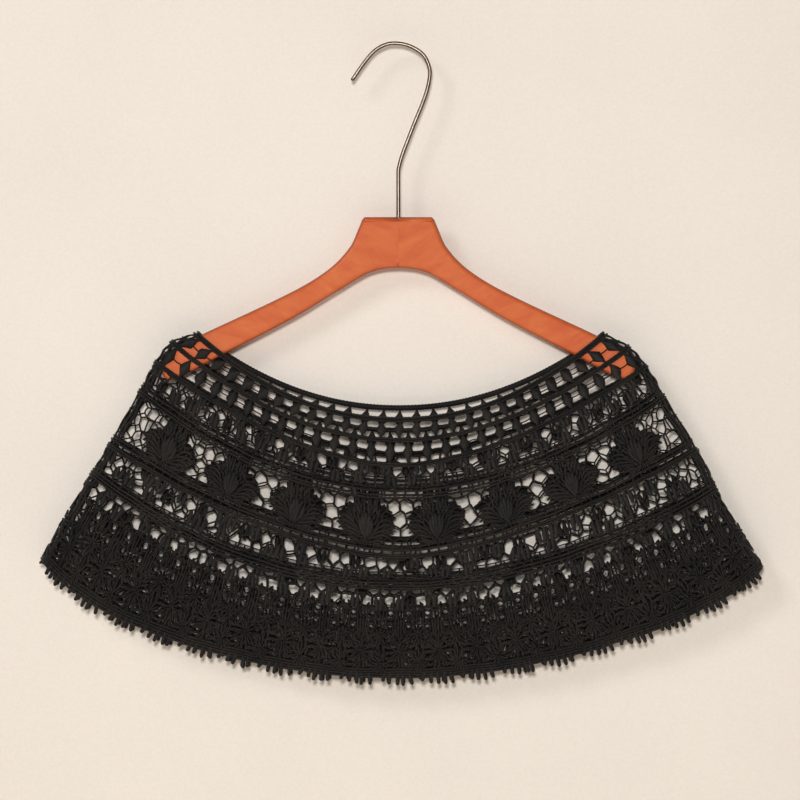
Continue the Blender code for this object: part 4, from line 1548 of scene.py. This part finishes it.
class PicotEdge(LaceRow):
    """Hem of picot fingers in groups of five, the first the shortest and the fourth the longest."""
    name = "lace_picot_edge"
    levels = (6.9, 7.15)
    seed = 20
    GROUPS = 19
    OFFSETS = (-0.36, -0.20, -0.05, 0.10, 0.25)
    LENGTHS = (3.6, 5.6, 6.8, 7.4, 6.4)
    ROOT = 6.94
    HEIGHT = 10.5 * MM
    LEAN = 0.10
    # Spreads of the fingers' places and leans as shares of a group, and of their lengths as shares of them
    PLACE_SPREAD = 0.012
    LENGTH_SPREAD = 0.07

    def chart(self) -> None:
        """Lay the fingers, from inside the border down past the hem, each leaning a little outward."""
        groups = np.repeat(np.arange(2 * self.GROUPS), len(self.OFFSETS))
        offset = np.tile(self.OFFSETS, 2 * self.GROUPS)
        side = np.where(groups < self.GROUPS, 1, -1)
        fingers = len(groups)
        turn = (groups + 0.5 + side * (offset + self.work.random.normal(0, self.PLACE_SPREAD, fingers)))
        turn = turn / self.GROUPS
        uneven = self.work.random.normal(1, self.LENGTH_SPREAD, fingers)
        length = np.tile(self.LENGTHS, 2 * self.GROUPS) * MM * uneven
        sway = side * offset * self.LEAN + self.work.random.normal(0, self.PLACE_SPREAD, fingers)
        sway = sway / self.GROUPS
        turns = np.stack([turn, turn + sway, turn + 2 * sway], axis=1)
        levels = np.tile((self.ROOT, HEM_LEVEL, HEM_LEVEL), (fingers, 1))
        below = np.stack([np.zeros(fingers), np.zeros(fingers), length], axis=1)
        self.work.lay(turns, levels, PICOT, below=below)

    def flat_cut(self) -> tuple[float, float]:
        """Length of the hem and the height of the fingers."""
        return self.garment.length(HEM_LEVEL), self.HEIGHT


class SideFolds(LaceRow):
    """Close upright cords down both side folds, where the ring's lace is folded flat."""
    name = "lace_side_folds"
    levels = (0.0, 7.0)
    seed = 21
    OFFSETS = (-6.3, -3.8, -1.3, 1.3, 3.8, 6.3)
    LEVELS = np.linspace(0.08, 6.97, 60)
    BAND_WIDTH = 15 * MM
    RINGS = 190
    WANDER = 0.5

    def chart(self) -> None:
        """Lay cords at set distances from the fold, each wandering a little."""
        lengths = self.garment.front.column(0, self.LEVELS)
        for fold in (0.0, 1.0):
            for number, offset in enumerate(self.OFFSETS):
                wander = self.WANDER * np.sin(self.LEVELS * (9 + number) + 2.1 * number + fold)
                turn = fold + (offset + wander) * MM / lengths
                self.work.lay(turn[None], self.LEVELS[None], FOLD_CORD, rings=self.RINGS)

    def flat_cut(self) -> tuple[float, float]:
        """Width of both folded bands together, and their height down the fold."""
        edge = self.garment.inner(np.zeros(len(self.LEVELS)), self.LEVELS)
        return 2 * self.BAND_WIDTH, float(distance_walked(edge)[-1])


class NeckBand(LaceRow):
    """Neck edge of two stitched cords side by side over a narrow tape."""
    name = "neck_band_cords"
    seed = 22
    SPACING = 1.1 * MM
    WIDTH = 5.4 * MM
    CORD_LEVELS = (0.030, 0.160)

    def chart(self) -> None:
        """Lay both cords and the tape all round."""
        for level in self.CORD_LEVELS:
            self.work.loop(level, BAND_CORD, self.SPACING, bead=0.20, bead_pitch=3.1 * MM)
        self.work.loop(sum(self.CORD_LEVELS) / 2, BAND_TAPE, 2.4 * MM)

    def declare(self, piece: bpy.types.Object) -> None:
        """The band is sewn to the blob rows and goes with them, so it is no sheet of its own."""
        LOG.info("%s: %.3f m round, %.1f mm wide", self.name, self.garment.length(0.1), self.WIDTH / MM)


# Hanger and hook


def closed_curve(points: Array, corners: Array, steps: int) -> Array:
    """Closed outline through points, smooth where they aren't corners.

    Between two points the curve is a cubic Hermite: both ends' slopes are half the chord between their
    neighbours, shortened to the stretch, and at a corner the slope is the stretch's own chord.

    Args:
        points: Outline points, as (n, 2).
        corners: Whether each point is a corner.
        steps: Points in each stretch between points that aren't both corners.

    Returns:
        Points of the whole outline, as (m, 2).
    """
    made = []
    count = len(points)
    for number in range(count):
        here, there = points[number], points[(number + 1) % count]
        before, after = points[number - 1], points[(number + 2) % count]
        chord = there - here
        reach = np.linalg.norm(chord)
        slopes = []
        for corner, ahead, behind in ((corners[number], there, before),
                                      (corners[(number + 1) % count], after, here)):
            slopes.append(chord if corner else (ahead - behind) / np.linalg.norm(ahead - behind) * reach)
        straight = corners[number] and corners[(number + 1) % count]
        share = np.linspace(0, 1, 2 if straight else steps + 1)[:-1, None]
        h00, h10 = 2 * share ** 3 - 3 * share ** 2 + 1, share ** 3 - 2 * share ** 2 + share
        h01, h11 = -2 * share ** 3 + 3 * share ** 2, share ** 3 - share ** 2
        made.append(h00 * here + h10 * slopes[0] + h01 * there + h11 * slopes[1])
    return np.concatenate(made)


@dataclass
class Hanger:
    """Flat wooden hanger of two glued halves, with rounded edges; its bends are in millimetres."""
    middle: float = 4.7 * MM
    thickness: float = 12.0 * MM
    edge: float = 4.4 * MM
    edge_rings: int = 8
    joint_gap: float = 0.05 * MM
    plate_top: float = -154.5 * MM
    plate_foot: float = -200.4 * MM
    plate_half: float = 32.4 * MM
    plate_corner: float = 2.2 * MM
    arm_slope: float = math.atan2(78.0, 160.0)
    steps: int = 14
    shoulder = ((36.2, -166.0), (43.4, -181.4), (61.7, -200.8), (94.5, -221.2))
    tip = ((195.0, -269.0), (208.0, -278.0), (213.0, -290.0), (208.5, -300.5), (197.0, -299.0))
    underside = ((157.5, -278.4), (94.5, -245.7), (54.0, -221.2), (27.9, -205.7), (13.5, -201.5))

    def outline(self) -> Array:
        """Outline of the right half, from the joint outward, with x from the hanger's middle."""
        joint = self.joint_gap / 2
        corners = [(joint, self.plate_foot), (joint, self.plate_top),
                   (self.plate_half - self.plate_corner, self.plate_top),
                   (self.plate_half, self.plate_top - self.plate_corner)]
        bends = [(x * MM, z * MM) for x, z in self.shoulder + self.tip + self.underside]
        points = np.array(corners + bends)
        is_corner = np.arange(len(points)) < len(corners)
        return closed_curve(points, is_corner, self.steps)

    def half(self, name: str, side: float, material: bpy.types.Material) -> bpy.types.Object:
        """Build one half: rings of its outline, drawn in over each edge as a quarter round.

        At edge angle a the outline moves in by edge * (1 - cos(a)) at depth half - edge + edge * sin(a).

        Args:
            name: Name of the piece.
            side: 1 for the right half and -1 for the left.
            material: Its finish.

        Returns:
            The piece.
        """
        outline = self.outline()
        along = unit(np.roll(outline, -1, axis=0) - np.roll(outline, 1, axis=0))
        inward = np.stack([along[:, 1], -along[:, 0]], axis=1)
        at_joint = outline[:, 0] < self.joint_gap
        inward[at_joint] = np.where(outline[at_joint][:, 1:] > (self.plate_top + self.plate_foot) / 2,
                                    (0.0, -1.0), (0.0, 1.0))
        angles = np.linspace(0, math.pi / 2, self.edge_rings)
        front = [(self.edge * (1 - math.cos(a)), self.thickness / 2 - self.edge + self.edge * math.sin(a))
                 for a in angles]
        profile = [(inset, -depth) for inset, depth in reversed(front)] + front
        flats = [outline + inward * inset for inset, _ in profile]
        points = np.concatenate([
            np.stack([self.middle + side * flat[:, 0], np.full(len(flat), depth), flat[:, 1]], axis=1)
            for flat, (_, depth) in zip(flats, profile)])
        count = len(outline)
        here = np.arange(count)
        there = (here + 1) % count
        low = np.arange(len(profile) - 1)[:, None] * count
        quads = np.stack([low + here, low + there, low + count + there, low + count + here], axis=-1)
        turned = 1 if side > 0 else -1
        last = (len(profile) - 1) * count
        faces = quads.reshape(-1, 4)[:, ::turned].tolist()
        faces += [here[::-turned].tolist(), (last + here)[::turned].tolist()]
        mesh = bpy.data.meshes.new(name)
        mesh.from_pydata(points.tolist(), [], faces)
        mesh.polygons.foreach_set("use_smooth", np.arange(len(faces)) < len(faces) - 2)
        mesh.update()
        return place_piece(name, mesh, material)

    def build(self, wood: LacqueredBeech) -> None:
        """Build both halves over their solids, each with its grain along its own arm.

        Args:
            wood: Their finish.
        """
        for label, side in (("left", -1.0), ("right", 1.0)):
            finish = wood.material(f"{wood.name}_{label}", side * self.arm_slope)
            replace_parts(self.half(f"hanger_{label}_wood", side, finish), f"hanger_{label}")


@dataclass
class Hook:
    """Steel wire hook, bent in one plane, its stem let into the plate's top."""
    wire: float = 1.75 * MM
    sides: int = 20
    steps: int = 14
    stem_foot: float = -176.2 * MM
    stem_start: float = 6 * MM
    stem_rings: int = 8
    bend = ((-36.8, -31.2), (-26.2, -15.8), (-16.2, -4.5), (-4.7, 1.3), (7.0, 1.6), (18.0, -1.8),
            (27.3, -8.5), (32.2, -18.0), (33.1, -27.4), (29.0, -45.4), (17.7, -73.9), (8.2, -99.0),
            (4.7, -112.0))

    def build(self, steel: DrawnSteel) -> None:
        """Sweep the wire along its bend, given in millimetres, and down its stem.

        Args:
            steel: Its finish.
        """
        bend = np.array(self.bend) * MM
        places = np.linspace(0, len(bend) - 1, (len(bend) - 1) * self.steps + 1)
        curve = smooth_between(bend, places)
        heights = np.linspace(bend[-1, 1] - self.stem_start, self.stem_foot, self.stem_rings)
        stem = np.stack([np.full(self.stem_rings, bend[-1, 0]), heights], axis=1)
        flat = np.concatenate((curve, stem))
        route = np.stack([flat[:, 0], np.zeros(len(flat)), flat[:, 1]], axis=1)[None]
        front = np.tile((0.0, -1.0, 0.0), (1, len(flat), 1))
        work = CordWork(None, 0)
        work.sweep(route, front, Stitch(self.wire, self.wire, lift=0.0, sides=self.sides))
        piece = place_piece("hanger_hook_wire", work.mesh("hanger_hook_wire"), steel.material())
        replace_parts(piece, "hanger_hook")


# Studio and camera


@dataclass
class Studio:
    """Cream wall close behind the shawl, a floor, a large lamp high on the left and one by the camera."""
    wall_depth: float = 24 * MM
    wall_half: float = 6.0
    floor_height: float = -1.3
    world_strength: float = 0.08
    world_colour: str = "fffdfa"
    aim: tuple[float, float, float] = (0.0, 0.0, -0.35)
    # Name, place, diameter and power of each lamp
    LAMPS = (("left_window", (-3.6, -4.8, 2.8), 2.2, 97.0),
             ("front_flash", (-0.10, -3.4, 0.10), 0.36, 66.0))

    def plane(self, name: str, corners: tuple[tuple[float, float, float], ...],
              material: bpy.types.Material) -> None:
        """Build a stage plane.

        Args:
            name: Name of the plane.
            corners: Its four corners, counter-clockwise seen from its front.
            material: Its finish.
        """
        mesh = bpy.data.meshes.new(name)
        mesh.from_pydata(corners, [], [(0, 1, 2, 3)])
        mesh.materials.append(material)
        plane = bpy.data.objects.new(name, mesh)
        bpy.context.scene.collection.objects.link(plane)

    def lamp(self, name: str, place: tuple[float, float, float], size: float, power: float) -> None:
        """Add a round soft lamp that points at the shawl.

        Args:
            name: Name of the lamp.
            place: Its middle.
            size: Its diameter, in metres.
            power: Its power, in watts.
        """
        data = bpy.data.lights.new(name, "AREA")
        data.shape = "DISK"
        data.size = size
        data.energy = power
        lamp = bpy.data.objects.new(name, data)
        lamp.location = place
        aim = np.array(self.aim) - np.array(place)
        lamp.rotation_euler = (math.atan2(math.hypot(aim[0], aim[1]), -aim[2]), 0.0,
                               math.atan2(aim[1], aim[0]) - math.pi / 2)
        lamp.visible_camera = False
        bpy.context.scene.collection.objects.link(lamp)

    def build(self, paint: WallPaint) -> None:
        """Build the wall, floor, world and lamps.

        Args:
            paint: Finish of wall and floor.
        """
        far, depth, low = self.wall_half, self.wall_depth, self.floor_height
        self.plane("studio_wall", ((-far, depth, low), (far, depth, low), (far, depth, far),
                                   (-far, depth, far)), paint.material(True))
        self.plane("studio_floor", ((-far, -far, low), (far, -far, low), (far, far, low),
                                    (-far, far, low)), paint.material(False))
        world = bpy.data.worlds.new("studio_world")
        world.use_nodes = True
        background = world.node_tree.nodes["Background"]
        background.inputs["Color"].default_value = linear(self.world_colour)
        background.inputs["Strength"].default_value = self.world_strength
        bpy.context.scene.world = world
        for lamp in self.LAMPS:
            self.lamp(*lamp)
        bpy.context.scene.view_settings.view_transform = "Standard"


@dataclass
class PhotoCamera:
    """Camera square on to the shawl, with the photograph's frame at the hanger's plane."""
    distance: float = 3.0
    sensor: float = 36.0
    sight: float = 50.0

    def build(self) -> None:
        """Place the camera so that one pixel covers one photo pixel's length."""
        data = bpy.data.cameras.new("photo_camera")
        data.sensor_width = self.sensor
        data.lens = self.sensor * self.distance / (PHOTO_SIDE * PIXEL)
        data.clip_end = self.sight
        camera = bpy.data.objects.new("photo_camera", data)
        right, down = ((PHOTO_SIDE / 2 - origin) * PIXEL for origin in ORIGIN_PIXEL)
        camera.location = (right, -self.distance, -down)
        camera.rotation_euler = (math.pi / 2, 0.0, 0.0)
        bpy.context.scene.collection.objects.link(camera)
        bpy.context.scene.camera = camera


def main() -> None:
    """Load the frame, and build the camera, studio and every piece around it."""
    logging.basicConfig(level=logging.INFO, format="%(name)s %(message)s")
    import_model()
    PhotoCamera().build()
    Studio().build(WallPaint())
    garment = Garment()
    Hanger().build(LacqueredBeech())
    Hook().build(DrawnSteel())
    thread = StitchedThread().material()
    band = StitchedThread(name="neck_band_thread", worn="19120d").material()
    NeckBand(garment).build(band, "band", ("neck_band_front", "neck_band_back"))
    for row in (Ribbons, BlobRows, LeafRow, ShellRow, ShellNet, EyeletRow, RhombRow, HemGround, HemFans,
                PicotEdge, SideFolds):
        row(garment).build(thread, "lace", ("shawl_front", "shawl_back"))


if __name__ == "__main__":
    main()
